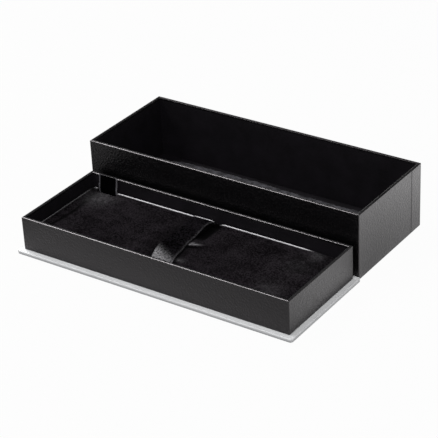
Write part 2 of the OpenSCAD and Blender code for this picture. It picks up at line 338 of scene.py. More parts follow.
def bend(out: float, z: float, r: float, start: float, turn: float, wear: Flat, steps: int = 6) -> list[Step]:
    """Rounded edge in a wrap's section.

    Args:
        out, z: Middle of the arc.
        r: Its radius.
        start, turn: First direction in degrees and how far it turns.
        wear: Wear of the paper at both ends of the edge.
        steps: Number of facets.

    Returns:
        The section's points along the edge.
    """
    found = []
    for i in range(steps + 1):
        s = i / steps
        a = math.radians(start + turn * s)
        found.append(Step(out + r * math.cos(a), z + r * math.sin(a), wear[0] + (wear[1] - wear[0]) * s))
    return found


def ring(a: int, b: int, n: int) -> list[tuple[int, ...]]:
    """Faces between two rings of n points that start at the points a and b."""
    return [(a + j, a + (j + 1) % n, b + (j + 1) % n, b + j) for j in range(n)]


def tube(rows: int, n: int) -> list[tuple[int, ...]]:
    """Faces of a tube that is closed at both ends.

    Args:
        rows: Number of rings.
        n: Points in each ring.

    Returns:
        The faces between the rings and the two end faces.
    """
    faces = [face for i in range(rows - 1) for face in ring(i * n, (i + 1) * n, n)]
    return [*faces, tuple(reversed(range(n))), tuple(range((rows - 1) * n, rows * n))]


def wrap(outline: Outline, section: Sequence[Step], closed: bool, rubbed: float = 0.0) -> Shape:
    """Paper wrapped round an outline.

    Args:
        outline: The box's outline.
        section: The paper's section, upwards on the outside.
        closed: Whether the section closes on itself. An open one is filled across at both ends.
        rubbed: Least wear at the outline's corners.

    Returns:
        The wrap's shape with its wear.
    """
    made = Shape(marks={Patch.WEAR_AND_HIGHLIGHT: []})
    # Each corner has two stations on the straight before it, then its arc with both ends.
    per_corner = outline.arc + 3
    rounded = range(3, per_corner - 1)
    for step in section:
        places = outline.stations(step.out)
        made.points += [(x, y, step.z) for x, y in places]
        made.marks[Patch.WEAR_AND_HIGHLIGHT] += [
            max(step.wear, rubbed if j % per_corner in rounded else 0.0) for j in range(len(places))
        ]
    n, rows = len(outline.stations(0)), len(section)
    made.faces = tube(rows, n)
    if closed:
        made.faces = [face for i in range(rows) for face in ring(i * n, (i + 1) % rows * n, n)]
    return made


def slab(outline: Outline, z0: float, z1: float, r: float, facets: int = 3) -> Shape:
    """Flat piece with softly rounded edges.

    Args:
        outline: Its outline.
        z0, z1: Its underside and top.
        r: Radius of its edges.
        facets: Number of facets of each edge.

    Returns:
        The closed shape.
    """
    flat_from = -3 * r
    foot = bend(-r, z0 + r, r, -90, 90, (0, 0), facets)
    head = bend(-r, z1 - r, r, 0, 90, (0, 0), facets)
    return wrap(outline, [Step(flat_from, z0), *foot, *head, Step(flat_from, z1)], closed=False)


@dataclass
class Cloth:
    """Grid of points over a rounded rectangle, turned down at its edge."""

    outline: Outline
    xs: list[float]
    ys: list[float]
    height: Callable[[float, float], float]
    hems: list[Flat]
    cut: Callable[[float, float], bool] = lambda x, y: False

    def shape(self, marks: dict[Patch, Callable[[float, float], float]] | None = None) -> Shape:
        """Builds the cloth's top and the sides that hang from its edge.

        Args:
            marks: Attributes to write, each with its value at a place. They are 0 on the sides.

        Returns:
            The shape.
        """
        o = self.outline
        flat = [round_corner(x, y, o.hx, o.hy, o.r) for y in self.ys for x in self.xs]
        made = Shape([(o.cx + x, o.cy + y, self.height(x, y)) for x, y in flat])
        row = len(self.xs)
        for j in range(len(self.ys) - 1):
            for i in range(row - 1):
                a = j * row + i
                quad = (a, a + 1, a + row + 1, a + row)
                x, y = (sum(flat[k][axis] for k in quad) / 4 for axis in (0, 1))
                if not self.cut(x, y):
                    made.faces.append(quad)
        self._hang(made, flat)
        sides = [0.0] * (len(made.points) - len(flat))
        for patch, value_at in (marks or {}).items():
            made.marks[patch] = [value_at(x, y) for x, y in flat] + sides
        return made

    def _hang(self, made: Shape, flat: list[Flat]) -> None:
        """Adds the sides below every free edge, a row of faces for each hem.

        Args:
            made: The shape with its top.
            flat: The top's places about the cloth's middle.
        """
        used = {(a, b) for f in made.faces for a, b in zip(f, f[1:] + f[:1])}
        following = {a: b for a, b in used if (b, a) not in used}
        before = {b: a for a, b in following.items()}
        o = self.outline
        above = {a: a for a in following}
        for out, z in self.hems:
            below = {}
            for a in sorted(following):
                x, y = flat[a]
                (px, py), (qx, qy) = flat[before[a]], flat[following[a]]
                nx, ny = qy - py, px - qx
                size = math.hypot(nx, ny) or 1.0
                push = out if edge_in(x, y, o.hx, o.hy, o.r) < 1e-3 else min(out, 0.0)
                below[a] = len(made.points)
                made.points.append((o.cx + x + push * nx / size, o.cy + y + push * ny / size, z))
            made.faces += [(above[b], above[a], below[a], below[b]) for a, b in sorted(following.items())]
            above = below


# Section of a woven band: facets across its face, the turns of its rounded edge, and the width and fade of the
# painted highlight along its edges
BAND_FACETS = 12
EDGE_TURNS = (60, 30, 0, -30, -60)
EDGE_HIGHLIGHT_W = 0.9
EDGE_HIGHLIGHT_FADE = 0.5


def band(path: Sequence[Place], places: Sequence[float], width: float, thick: float, curl: float) -> Shape:
    """Flat woven band along a path.

    Args:
        path: Middle line as Y and the heights of the band's left and right edges.
        places: X of the middle at each point.
        width, thick: Size of the band's section.
        curl: How far its edges curl down from its middle.

    Returns:
        The closed shape, with its edges marked for a painted edge highlight.
    """
    r = thick / 2
    top = [(-width / 2 + r + (width - thick) * i / BAND_FACETS, r) for i in range(BAND_FACETS + 1)]
    tip = [(width / 2 - r + r * math.cos(a), r * math.sin(a)) for a in map(math.radians, EDGE_TURNS)]
    section = top + tip + [(-u, -v) for u, v in top + tip]
    selvedge = Ramp(width / 2 - EDGE_HIGHLIGHT_W, EDGE_HIGHLIGHT_FADE)
    made = Shape(marks={Patch.EDGE_HIGHLIGHT: []}, faces=tube(len(path), len(section)))
    last = len(path) - 1
    for i, (y, left, right) in enumerate(path):
        before, after = path[max(0, i - 1)], path[min(last, i + 1)]
        for u, v in section:
            share = u / width + 0.5
            dy = after[0] - before[0]
            dz = (after[1] - before[1]) * (1 - share) + (after[2] - before[2]) * share
            size = math.hypot(dy, dz)
            lift = v - curl * (2 * u / width) ** 4
            z = left + (right - left) * ease(share)
            made.points.append((places[i] + u, y + dz / size * lift, z - dy / size * lift))
            made.marks[Patch.EDGE_HIGHLIGHT].append(selvedge.at(abs(u)))
    return made


# Materials

BLACK = linear("#000000")
WHITE = linear("#ffffff")


def add(
    tree: NodeTree,
    kind: str,
    settings: dict[str | int, object] | None = None,
    links: dict[str | int, NodeSocket] | None = None,
) -> Node:
    """Adds a node.

    Args:
        tree: Tree that it goes into.
        kind: Blender's name of the node.
        settings: Values by socket name or number, or by the node's own property. "stops" fills a colour ramp.
        links: Sockets that feed its inputs.

    Returns:
        The node.
    """
    made = tree.nodes.new(kind)
    for key, value in (settings or {}).items():
        if key == "stops":
            ramp = made.color_ramp
            while len(ramp.elements) < len(value):
                ramp.elements.new(1.0)
            for element, (position, colour) in zip(ramp.elements, value):
                element.position, element.color = position, colour
        elif isinstance(key, int) or key in made.inputs:
            made.inputs[key].default_value = value
        else:
            setattr(made, key, value)
    for key, socket in (links or {}).items():
        tree.links.new(socket, made.inputs[key])
    return made


@dataclass(frozen=True)
class Finish:
    """What every finish has: a name, its shader's even values, its two tones and its relief."""

    name: str
    roughness: float
    gloss: float = 0.5
    ior: float = 1.5
    dark: str = "#000000"
    light: str = "#ffffff"
    # Values of the pattern at which the dark tone ends and the light tone starts
    stops: Flat = (0.3, 0.7)
    relief_mm: float = 0.03
    relief_share: float = 0.4
    sheen: float = 0.0
    sheen_roughness: float = 0.5

    def start(self, **sockets: object) -> tuple[Material, NodeTree, Node]:
        """Makes the material with its shader.

        Args:
            sockets: Further values for the shader's sockets, with _ for a space.

        Returns:
            The material, its tree and its shader.
        """
        material = bpy.data.materials.new(self.name)
        material.use_nodes = True
        tree = material.node_tree
        tree.nodes.clear()
        shader = add(tree, "ShaderNodeBsdfPrincipled", {
            "Roughness": self.roughness, "IOR": self.ior, "Specular IOR Level": self.gloss,
            "Sheen Weight": self.sheen, "Sheen Roughness": self.sheen_roughness,
        })
        for key, value in sockets.items():
            shader.inputs[key.replace("_", " ")].default_value = value
        add(tree, "ShaderNodeOutputMaterial", links={"Surface": shader.outputs["BSDF"]})
        return material, tree, shader

    def pattern(self, tree: NodeTree) -> NodeSocket:
        """Pattern that sets a plain finish's tone and relief, made by each plain finish in its own way."""
        raise NotImplementedError(self.name)

    def make(self) -> Material:
        """Builds the material of a plain finish. The others have a method of their own.

        Returns:
            The material.
        """
        material, tree, shader = self.start()
        pattern = self.pattern(tree)
        tone = add(tree, "ShaderNodeValToRGB", self.tones(), {"Fac": pattern})
        tree.links.new(tone.outputs["Color"], shader.inputs["Base Color"])
        self.relief(tree, shader, [(pattern, self.relief_mm, self.relief_share)])
        return material

    def tones(self) -> dict[str, list[tuple[float, Colour]]]:
        """Settings of a colour ramp from the dark to the light tone."""
        return {"stops": list(zip(self.stops, (linear(self.dark), linear(self.light))))}

    @staticmethod
    def spot(tree: NodeTree, size_mm: Place) -> NodeSocket:
        """Coordinates on the piece in which one unit is this many millimetres along each axis.

        Args:
            tree: The material's tree.
            size_mm: Size of one unit along X, Y and Z.

        Returns:
            The vector socket.
        """
        where = add(tree, "ShaderNodeTexCoord")
        scale = tuple(per_metre(s) for s in size_mm)
        sized = add(tree, "ShaderNodeMapping", {"Scale": scale}, {"Vector": where.outputs["Object"]})
        return sized.outputs["Vector"]

    @staticmethod
    def relief(tree: NodeTree, shader: Node, heights: Sequence[tuple[NodeSocket, float, float]]) -> None:
        """Lays one relief over another on the shader.

        Args:
            tree: The material's tree.
            shader: The shader that gets it.
            heights: For each relief its height socket, its depth in millimetres and its strength.
        """
        below = None
        for socket, depth, strength in heights:
            links = {"Height": socket}
            if below:
                links["Normal"] = below
            bump = add(tree, "ShaderNodeBump", {"Strength": strength, "Distance": depth * MM}, links)
            below = bump.outputs["Normal"]
        tree.links.new(below, shader.inputs["Normal"])


@dataclass(frozen=True)
class GrainPaper(Finish):
    """Black covering paper, printed and embossed: a low gloss that mirrors the white table softly.

    Its fine upright streaks and leather grain break that gloss up, and its folds are rubbed a little grey; on
    the rims and corners that grey also paints highlight lines.
    """

    dark: str = "#000001"
    light: str = "#070708"
    stops: Flat = (0.4, 0.6)
    relief_mm: float = 0.19
    relief_share: float = 0.7
    # Grey of rubbed folds, which on the rims and corners also paints highlight lines
    rubbed: str = "#403f40"
    tint: str = "#fff8fc"
    polish: float = 0.16
    # The real grain is about 0.5 mm, drawn coarser so that it shows.
    grain_mm: float = 1.25
    grain_level: float = 0.95
    streak_mm: float = 0.9
    streak_length_mm: float = 7.0
    streak_level: float = 0.5
    streak_relief_mm: float = 0.06
    streak_share: float = 0.6
    # Range of the streaks that counts for gloss, and how far they move the roughness down and up
    streak_range: Flat = (0.3, 0.7)
    streak_gloss: Flat = (-0.02, 0.04)

    def make(self) -> Material:
        """Builds the material.

        Returns:
            The material.
        """
        material, tree, shader = self.start(Specular_Tint=linear(self.tint))
        streaks = add(
            tree, "ShaderNodeTexNoise", {"Scale": 1.0, "Detail": 3.0, "Roughness": 0.6},
            {"Vector": self.spot(tree, (self.streak_mm, self.streak_mm, self.streak_length_mm))},
        )
        grain_at = {"Vector": self.spot(tree, (self.grain_mm,) * 3)}
        grain = add(tree, "ShaderNodeTexVoronoi", {"Scale": 1.0, "Randomness": 1.0}, grain_at)
        fine = add(tree, "ShaderNodeTexNoise", {"Scale": 1.6, "Detail": 4.0, "Roughness": 0.65}, grain_at)
        tone = add(tree, "ShaderNodeValToRGB", self.tones(), {"Fac": fine.outputs["Fac"]})
        # Rubbed grey mixed in by the wear mark; on the rims and corners it is partly painted highlight
        wear = add(tree, "ShaderNodeAttribute", {"attribute_name": Patch.WEAR_AND_HIGHLIGHT.value}).outputs["Fac"]
        rub_and_highlight = add(tree, "ShaderNodeMath", {"operation": "MULTIPLY"}, {0: wear, 1: fine.outputs["Fac"]})
        worn = add(
            tree, "ShaderNodeMix", {"data_type": "RGBA", 7: linear(self.rubbed)},
            {0: rub_and_highlight.outputs["Value"], 6: tone.outputs["Color"]},
        )
        tree.links.new(worn.outputs[2], shader.inputs["Base Color"])
        sharp, dull = (self.roughness + change for change in self.streak_gloss)
        spread = Fade(*self.streak_range, sharp, dull)
        gloss = add(tree, "ShaderNodeMapRange", spread.settings(), {"Value": streaks.outputs["Fac"]})
        polished = add(
            tree, "ShaderNodeMath", {"operation": "MULTIPLY_ADD", 1: -self.polish},
            {0: wear, 2: gloss.outputs["Result"]},
        )
        tree.links.new(polished.outputs["Value"], shader.inputs["Roughness"])
        plain = add(tree, "ShaderNodeMath", {"operation": "SUBTRACT", 0: 1.0}, {1: wear}).outputs["Value"]
        pebbles = add(
            tree, "ShaderNodeMath", {"operation": "ADD"},
            {0: grain.outputs["Distance"], 1: fine.outputs["Fac"]},
        )
        heights = []
        for socket, level, depth, strength in (
            (streaks.outputs["Fac"], self.streak_level, self.streak_relief_mm, self.streak_share),
            (pebbles.outputs["Value"], self.grain_level, self.relief_mm, self.relief_share),
        ):
            centred = add(tree, "ShaderNodeMath", {"operation": "SUBTRACT", 1: level}, {0: socket})
            kept = add(
                tree, "ShaderNodeMath", {"operation": "MULTIPLY"}, {0: centred.outputs["Value"], 1: plain}
            )
            heights.append((kept.outputs["Value"], depth, strength))
        self.relief(tree, shader, heights)
        return material


@dataclass(frozen=True)
class MattPaper(Finish):
    """Uncoated paper or board: no gloss, a faint fibre and a slightly clouded colour."""

    dark: str = "#0b090c"
    light: str = "#18151a"
    stops: Flat = (0.25, 0.75)
    fibre_mm: float = 0.8
    cloud_mm: float = 9.0
    fibre_share: float = 0.6
    cloud_share: float = 0.6
    shift: float = -0.1

    def make(self) -> Material:
        """Builds the material.

        Returns:
            The material.
        """
        material, tree, shader = self.start()
        fibres = add(
            tree, "ShaderNodeTexNoise", {"Scale": 1.0, "Detail": 4.0, "Roughness": 0.7},
            {"Vector": self.spot(tree, (self.fibre_mm * 2, self.fibre_mm, self.fibre_mm))},
        )
        clouds = add(
            tree, "ShaderNodeTexNoise", {"Scale": 1.0, "Detail": 2.0},
            {"Vector": self.spot(tree, (self.cloud_mm,) * 3)},
        )
        cloudy = add(
            tree, "ShaderNodeMath", {"operation": "MULTIPLY", 1: self.cloud_share}, {0: clouds.outputs["Fac"]}
        )
        both = add(
            tree, "ShaderNodeMath", {"operation": "MULTIPLY_ADD", 1: self.fibre_share},
            {0: fibres.outputs["Fac"], 2: cloudy.outputs["Value"]},
        )
        shifted = add(
            tree, "ShaderNodeMath", {"operation": "ADD", "use_clamp": True, 1: self.shift},
            {0: both.outputs["Value"]},
        )
        tone = add(tree, "ShaderNodeValToRGB", self.tones(), {"Fac": shifted.outputs["Value"]})
        tree.links.new(tone.outputs["Color"], shader.inputs["Base Color"])
        self.relief(tree, shader, [(fibres.outputs["Fac"], self.relief_mm, self.relief_share)])
        return material


@dataclass(frozen=True)
class SilverPaper(Finish):
    """Silver-grey satin paper: aluminium pigment in the coating gives a pale, softly directional shine.

    Fine lines run along the case, and the edge that stands on the table is rubbed greyer.
    """

    dark: str = "#e4e5e7"
    light: str = "#f2f3f4"
    relief_mm: float = 0.02
    relief_share: float = 0.3
    rubbed: str = "#8f9093"
    uneven: float = 0.1
    # The real lines are about 0.15 mm apart, drawn wider so that they show.
    line_mm: float = 0.7
    line_length_mm: float = 30.0

    def make(self) -> Material:
        """Builds the material.

        Returns:
            The material.
        """
        material, tree, shader = self.start()
        lines = add(
            tree, "ShaderNodeTexNoise", {"Scale": 1.0, "Detail": 3.0, "Roughness": 0.6},
            {"Vector": self.spot(tree, (self.line_length_mm, self.line_mm, self.line_mm))},
        ).outputs["Fac"]
        tone = add(tree, "ShaderNodeValToRGB", self.tones(), {"Fac": lines})
        wear = add(tree, "ShaderNodeAttribute", {"attribute_name": Patch.WEAR_AND_HIGHLIGHT.value})
        worn = add(
            tree, "ShaderNodeMix", {"data_type": "RGBA", 7: linear(self.rubbed)},
            {0: wear.outputs["Fac"], 6: tone.outputs["Color"]},
        )
        tree.links.new(worn.outputs[2], shader.inputs["Base Color"])
        spread = Fade(0.0, 1.0, self.roughness - self.uneven, self.roughness + self.uneven)
        gloss = add(tree, "ShaderNodeMapRange", spread.settings(), {"Value": lines})
        tree.links.new(gloss.outputs["Result"], shader.inputs["Roughness"])
        self.relief(tree, shader, [(lines, self.relief_mm, self.relief_share)])
        return material


@dataclass(frozen=True)
class Velvet(Finish):
    """Black velvet, a cut pile on a woven back: it swallows light face on and glows at a glancing angle.

    Stroked pile leaves lighter clouds. A painted highlight draws pale lines along its folds and edges and pale
    patches, and painted shade darkens it beside the strap and in hollows.
    """

    dark: str = "#050405"
    light: str = "#211e21"
    stops: Flat = (0.455, 0.58)
    relief_mm: float = 0.15
    relief_share: float = 0.6
    # Colour and roughness of the painted highlight, colour of the painted shade, and the share of the painted
    # edge highlight
    highlight_colour: str = "#f0eef2"
    highlight_roughness: float = 0.38
    shade_colour: str = "#020202"
    selvedge: float = 0.05
    sheen: float = 0.06
    sheen_roughness: float = 0.4
    sheen_tint: str = "#b9b6bd"
    # Tufts are about 0.2 mm, drawn coarser so that the nap shows.
    tuft_mm: float = 0.7
    speckle: float = 0.4
    speckle_range: Flat = (0.35, 0.65)
    cloud_mm: float = 16.0
    cloud_depth_mm: float = 11.2
    cloudy: float = 0.2
    cloud_relief_mm: float = 0.25
    cloud_share: float = 0.3

    def make(self) -> Material:
        """Builds the material.

        Returns:
            The material.
        """
        material, tree, shader = self.start(Sheen_Tint=linear(self.sheen_tint))
        pressed, edge, fold = (
            add(tree, "ShaderNodeAttribute", {"attribute_name": patch.value}).outputs["Fac"]
            for patch in (Patch.PAINTED_SHADE, Patch.EDGE_HIGHLIGHT, Patch.PAINTED_HIGHLIGHT)
        )
        tufts = add(
            tree, "ShaderNodeTexNoise", {"Scale": 1.0, "Detail": 4.0, "Roughness": 0.7},
            {"Vector": self.spot(tree, (self.tuft_mm,) * 3)},
        ).outputs["Fac"]
        clouds = add(
            tree, "ShaderNodeTexNoise", {"Scale": 1.0, "Detail": 3.0, "Distortion": 0.8},
            {"Vector": self.spot(tree, (self.cloud_mm, self.cloud_depth_mm, self.cloud_mm))},
        ).outputs["Fac"]
        nap = add(tree, "ShaderNodeMix", {0: self.cloudy}, {2: tufts, 3: clouds})
        tone = add(tree, "ShaderNodeValToRGB", self.tones(), {"Fac": nap.outputs[0]})
        # Painted shade: the pile turns near black where the shade mark is set
        shade_colour = add(
            tree, "ShaderNodeMix", {"data_type": "RGBA", 7: linear(self.shade_colour)},
            {0: pressed, 6: tone.outputs["Color"]},
        )
        # Painted highlight: the edge and fold marks mix in the pale colour, speckled by the tufts
        highlight_mask = add(
            tree, "ShaderNodeMath", {"operation": "MULTIPLY_ADD", 1: self.selvedge}, {0: edge, 2: fold}
        )
        uneven = Fade(*self.speckle_range, 1 - self.speckle, 1 + self.speckle)
        speckle = add(tree, "ShaderNodeMapRange", uneven.settings(), {"Value": tufts})
        speckled_highlight = add(
            tree, "ShaderNodeMath", {"operation": "MULTIPLY", "use_clamp": True},
            {0: highlight_mask.outputs["Value"], 1: speckle.outputs["Result"]},
        )
        lit = add(
            tree, "ShaderNodeMix", {"data_type": "RGBA", 7: linear(self.highlight_colour)},
            {0: speckled_highlight.outputs["Value"], 6: shade_colour.outputs[2]},
        )
        tree.links.new(lit.outputs[2], shader.inputs["Base Color"])
        flattened = Fade(0.0, 1.0, self.roughness, self.highlight_roughness)
        gloss = add(tree, "ShaderNodeMapRange", flattened.settings(), {"Value": fold})
        tree.links.new(gloss.outputs["Result"], shader.inputs["Roughness"])
        self.relief(tree, shader, [
            (clouds, self.cloud_relief_mm, self.cloud_share), (tufts, self.relief_mm, self.relief_share)
        ])
        return material


@dataclass(frozen=True)
class Satin(Finish):
    """Black satin ribbon: long floats of filament give a deep black and a streaked shine; its edges carry a
    painted highlight.
    """

    dark: str = "#010102"
    light: str = "#040405"
    # Pale colour of the painted highlight along the ribbon's edges
    selvedge: str = "#6a686d"
    anisotropy: float = 0.5
    thread_mm: float = 0.5
    float_mm: float = 7.0

    def make(self) -> Material:
        """Builds the material.

        Returns:
            The material.
        """
        material, tree, shader = self.start(Anisotropic=self.anisotropy)
        floats = add(
            tree, "ShaderNodeTexNoise", {"Scale": 1.0, "Detail": 3.0, "Roughness": 0.6},
            {"Vector": self.spot(tree, (self.thread_mm, self.thread_mm, self.float_mm))},
        ).outputs["Fac"]
        tone = add(tree, "ShaderNodeValToRGB", self.tones(), {"Fac": floats})
        # Painted highlight along both edges
        edge = add(tree, "ShaderNodeAttribute", {"attribute_name": Patch.EDGE_HIGHLIGHT.value})
        lit = add(
            tree, "ShaderNodeMix", {"data_type": "RGBA", 7: linear(self.selvedge)},
            {0: edge.outputs["Fac"], 6: tone.outputs["Color"]},
        )
        tree.links.new(lit.outputs[2], shader.inputs["Base Color"])
        self.relief(tree, shader, [(floats, self.relief_mm, self.relief_share)])
        return material


@dataclass(frozen=True)
class BrushedCloth(Finish):
    """Dark grey brushed cloth: a raised nap with no gloss and a woolly, uneven tone."""

    dark: str = "#0a090b"
    light: str = "#4c4b50"
    stops: Flat = (0.34, 0.66)
    relief_mm: float = 0.4
    relief_share: float = 0.7
    sheen: float = 0.05
    # The real nap is about 0.5 mm, drawn coarser so that it shows.
    nap_mm: float = 2.0
    nap_length_mm: float = 3.2

    def pattern(self, tree: NodeTree) -> NodeSocket:
        """Tufts of nap, longer along the pad.

        Args:
            tree: The material's tree.

        Returns:
            The pattern's socket.
        """
        nap = add(
            tree, "ShaderNodeTexNoise", {"Scale": 1.0, "Detail": 5.0, "Roughness": 0.7, "Distortion": 0.5},
            {"Vector": self.spot(tree, (self.nap_length_mm, self.nap_mm, self.nap_mm))},
        )
        return nap.outputs["Fac"]


@dataclass(frozen=True)
class OpenFoam(Finish):
    """Dark polyurethane foam: open cells that leave small pits and no gloss."""

    dark: str = "#333336"
    light: str = "#535357"
    stops: Flat = (0.1, 0.7)
    relief_mm: float = 0.3
    relief_share: float = 0.8
    cell_mm: float = 0.8

    def pattern(self, tree: NodeTree) -> NodeSocket:
        """Open cells.

        Args:
            tree: The material's tree.

        Returns:
            The pattern's socket.
        """
        cells = add(
            tree, "ShaderNodeTexVoronoi", {"Scale": 1.0}, {"Vector": self.spot(tree, (self.cell_mm,) * 3)}
        )
        return cells.outputs["Distance"]


@dataclass(frozen=True)
class Thread(Finish):
    """Black polyester sewing thread: two plies twisted together, with a slight shine on each turn."""

    dark: str = "#030304"
    light: str = "#0f0e10"
    stops: Flat = (0.2, 0.8)
    relief_mm: float = 0.08
    relief_share: float = 0.6
    turn_mm: float = 0.45

    def pattern(self, tree: NodeTree) -> NodeSocket:
        """Turns of the twisted plies.

        Args:
            tree: The material's tree.

        Returns:
            The pattern's socket.
        """
        twist = add(
            tree, "ShaderNodeTexWave", {"Scale": 1.0, "Distortion": 0.6, "bands_direction": "DIAGONAL"},
            {"Vector": self.spot(tree, (self.turn_mm,) * 3)},
        )
        return twist.outputs["Fac"]


@dataclass
class Finishes:
    """All the case's materials, made once."""

    covering: Material = field(default_factory=GrainPaper("black leather-grain paper", 0.3).make)
    lining: Material = field(default_factory=MattPaper("black uncoated lining paper", 0.7, 0.15).make)
    silver: Material = field(default_factory=SilverPaper("silver satin paper", 0.55).make)
    greyboard: Material = field(default_factory=MattPaper(
        "greyboard", 0.9, 0.2, dark="#7d7973", light="#9c9890", fibre_mm=1.1,
    ).make)
    lined_board: Material = field(default_factory=MattPaper("black-lined greyboard", 0.7, 0.15).make)
    tape: Material = field(default_factory=MattPaper(
        "kraft paper tape", 0.75, 0.3, dark="#937a54", light="#b49870",
    ).make)
    velvet: Material = field(default_factory=Velvet("black cut-pile velvet", 0.75, 0.0).make)
    strap: Material = field(default_factory=Velvet(
        "black velvet ribbon", 0.4, 0.0, dark="#020202", light="#171518", selvedge=0.02, sheen=0.0,
        tuft_mm=1.0, speckle=0.9,
    ).make)
    satin: Material = field(default_factory=Satin("black satin ribbon", 0.3, 0.06).make)
    thread: Material = field(default_factory=Thread("black polyester thread", 0.6, 0.1).make)
    cloth: Material = field(default_factory=BrushedCloth("grey brushed cloth", 0.95, 0.1).make)
    foam: Material = field(default_factory=OpenFoam("dark polyurethane foam", 0.95, 0.1).make)


# Pieces


def box_mm(node: str) -> tuple[Vector, Vector]:
    """Lowest and highest corner of a CAD node in millimetres."""
    low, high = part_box(node)
    return low / MM, high / MM


def dress(material: Material, *nodes: str) -> None:
    """Gives CAD nodes their finish.

    Args:
        material: The finish.
        nodes: Names of the nodes.
    """
    for name in nodes:
        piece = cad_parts[name]
        if not piece.material_slots:
            piece.data.materials.append(material)
        for place in piece.material_slots:
            place.material = material
        LOG.info("%s: packed solid in %s", name, material.name)


def seat(piece: Object, body: Body, slot: str, *nodes: str) -> None:
    """Lets a new piece ride on its body in place of CAD nodes.

    Args:
        piece: The new piece.
        body: Body that it moves with.
        slot: Name of a material slot; not used.
        nodes: CAD nodes that it stands for.
    """
    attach(piece, body.value)
    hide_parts(*nodes)
    LOG.info("%s: %d faces, for %s", piece.name, len(piece.data.polygons), ", ".join(nodes))


@dataclass
class Papering:
    """Sizes of board and paper that the tray, the lid and the plate share."""

    paper_t: float = 0.2
    wall_t: float = 1.9
    rim_lip: float = 1.2
    rim_r: float = 0.3
    rim_crown_r: float = 1.65
    rim_facets: int = 4
    crown_facets: int = 10
    edge_r: float = 0.45
    corner_r: float = 0.4
    least_r: float = 0.05
    stay_t: float = 0.1
    stay_leg: float = 12.0
    stay_facets: int = 4
    stay_in: float = 1.0
    # Straight stretches beside a bend: outside a foot, outside a rim, and on the paper's inner face
    foot_flat: float = 0.3
    rim_flat: float = 0.15
    inner_flat: float = 0.1
    # Wear along a foot, up a rim's outer edge, at the inner end of its crown and inside it, and at corners. On
    # the rims and corners its grey also paints highlight lines.
    foot_wear: Flat = (0.6, 0.2)
    rim_wear_and_highlight: Flat = (0.3, 1.0)
    crown_wear_and_highlight: float = 0.45
    mouth_wear_and_highlight: float = 0.3
    corner_wear_and_highlight: float = 0.8

    def tapes(self, outline: Outline, z0: float, z1: float) -> Shape:
        """Four tapes bent round the board's corners, under the covering paper.

        Args:
            outline: Outer outline of the box.
            z0, z1: Foot and top of the box.

        Returns:
            The four thin strips.
        """
        made, facets = Shape(), self.stay_facets
        n = facets + 3
        for sx, sy in ((-1, -1), (-1, 1), (1, -1), (1, 1)):
            strip = Shape()
            for z in (z0 + self.stay_in, z1 - self.stay_in):
                for out in (-self.paper_t + self.stay_t, -self.paper_t):
                    x, y = outline.hx + out, outline.hy + out
                    r = max(self.least_r, self.corner_r + out)
                    arc = [outline.arc_point(x - r, y - r, r, 90 * i / facets) for i in range(facets + 1)]
                    line = [(x, y - self.stay_leg), *arc, (x - self.stay_leg, y)]
                    strip.points += [(outline.cx + sx * px, outline.cy + sy * py, z) for px, py in line]
            for k in range(n - 1):
                strip.faces += [
                    (k, k + 1, 2 * n + k + 1, 2 * n + k), (n + k + 1, n + k, 3 * n + k, 3 * n + k + 1),
                    (k + 1, k, n + k, n + k + 1), (2 * n + k, 2 * n + k + 1, 3 * n + k + 1, 3 * n + k),
                ]
            strip.faces += [(0, 2 * n, 3 * n, n), (n - 1, 2 * n - 1, 4 * n - 1, 3 * n - 1)]
            if sx * sy < 0:
                strip.faces = [tuple(reversed(f)) for f in strip.faces]
            made.join(strip)
        return made

    def rim(self, z: float) -> list[Step]:
        """Section of the covering paper over a rim and into the box's mouth, from the outside in.

        Args:
            z: Height of the rim.

        Returns:
            The section's points, down to the lip and back under the paper.
        """
        half, inside, r, big = self.wall_t / 2, -self.wall_t, self.rim_r, self.rim_crown_r
        side_z = z - big + math.sqrt((big - r) ** 2 - (half - r) ** 2)
        lean = math.degrees(math.atan2(half - r, side_z - z + big))
        below, lip = side_z - self.rim_flat, z - self.rim_lip
        crown, mouth = (self.rim_wear_and_highlight[1], self.crown_wear_and_highlight), (self.crown_wear_and_highlight, self.mouth_wear_and_highlight)
        return [
            Step(0, below),
            *bend(-r, side_z, r, 0, 90 - lean, self.rim_wear_and_highlight, self.rim_facets),
            *bend(-half, z - big, big, 90 - lean, 2 * lean, crown, self.crown_facets)[1:-1],
            *bend(inside + r, side_z, r, 90 + lean, 90 - lean, mouth, self.rim_facets),
            Step(inside, below),
            Step(inside, lip),
            Step(inside + self.paper_t, lip),
            Step(inside + self.paper_t, below - self.inner_flat),
            Step(-self.paper_t, below - self.inner_flat),
        ]

    def side(self, z0: float, z1: float) -> list[Step]:
        """Section of the covering paper from a box's foot over its rim and back down under the paper.

        Args:
            z0, z1: Heights of the foot and the rim.

        Returns:
            The section's points.
        """
        p, r = self.paper_t, self.edge_r
        return [
            *bend(-r, z0 + r, r, -90, 90, self.foot_wear), Step(0, z0 + r + self.foot_flat),
            *self.rim(z1), Step(-p, z0 + r + self.inner_flat), Step(-r, z0 + p),
        ]


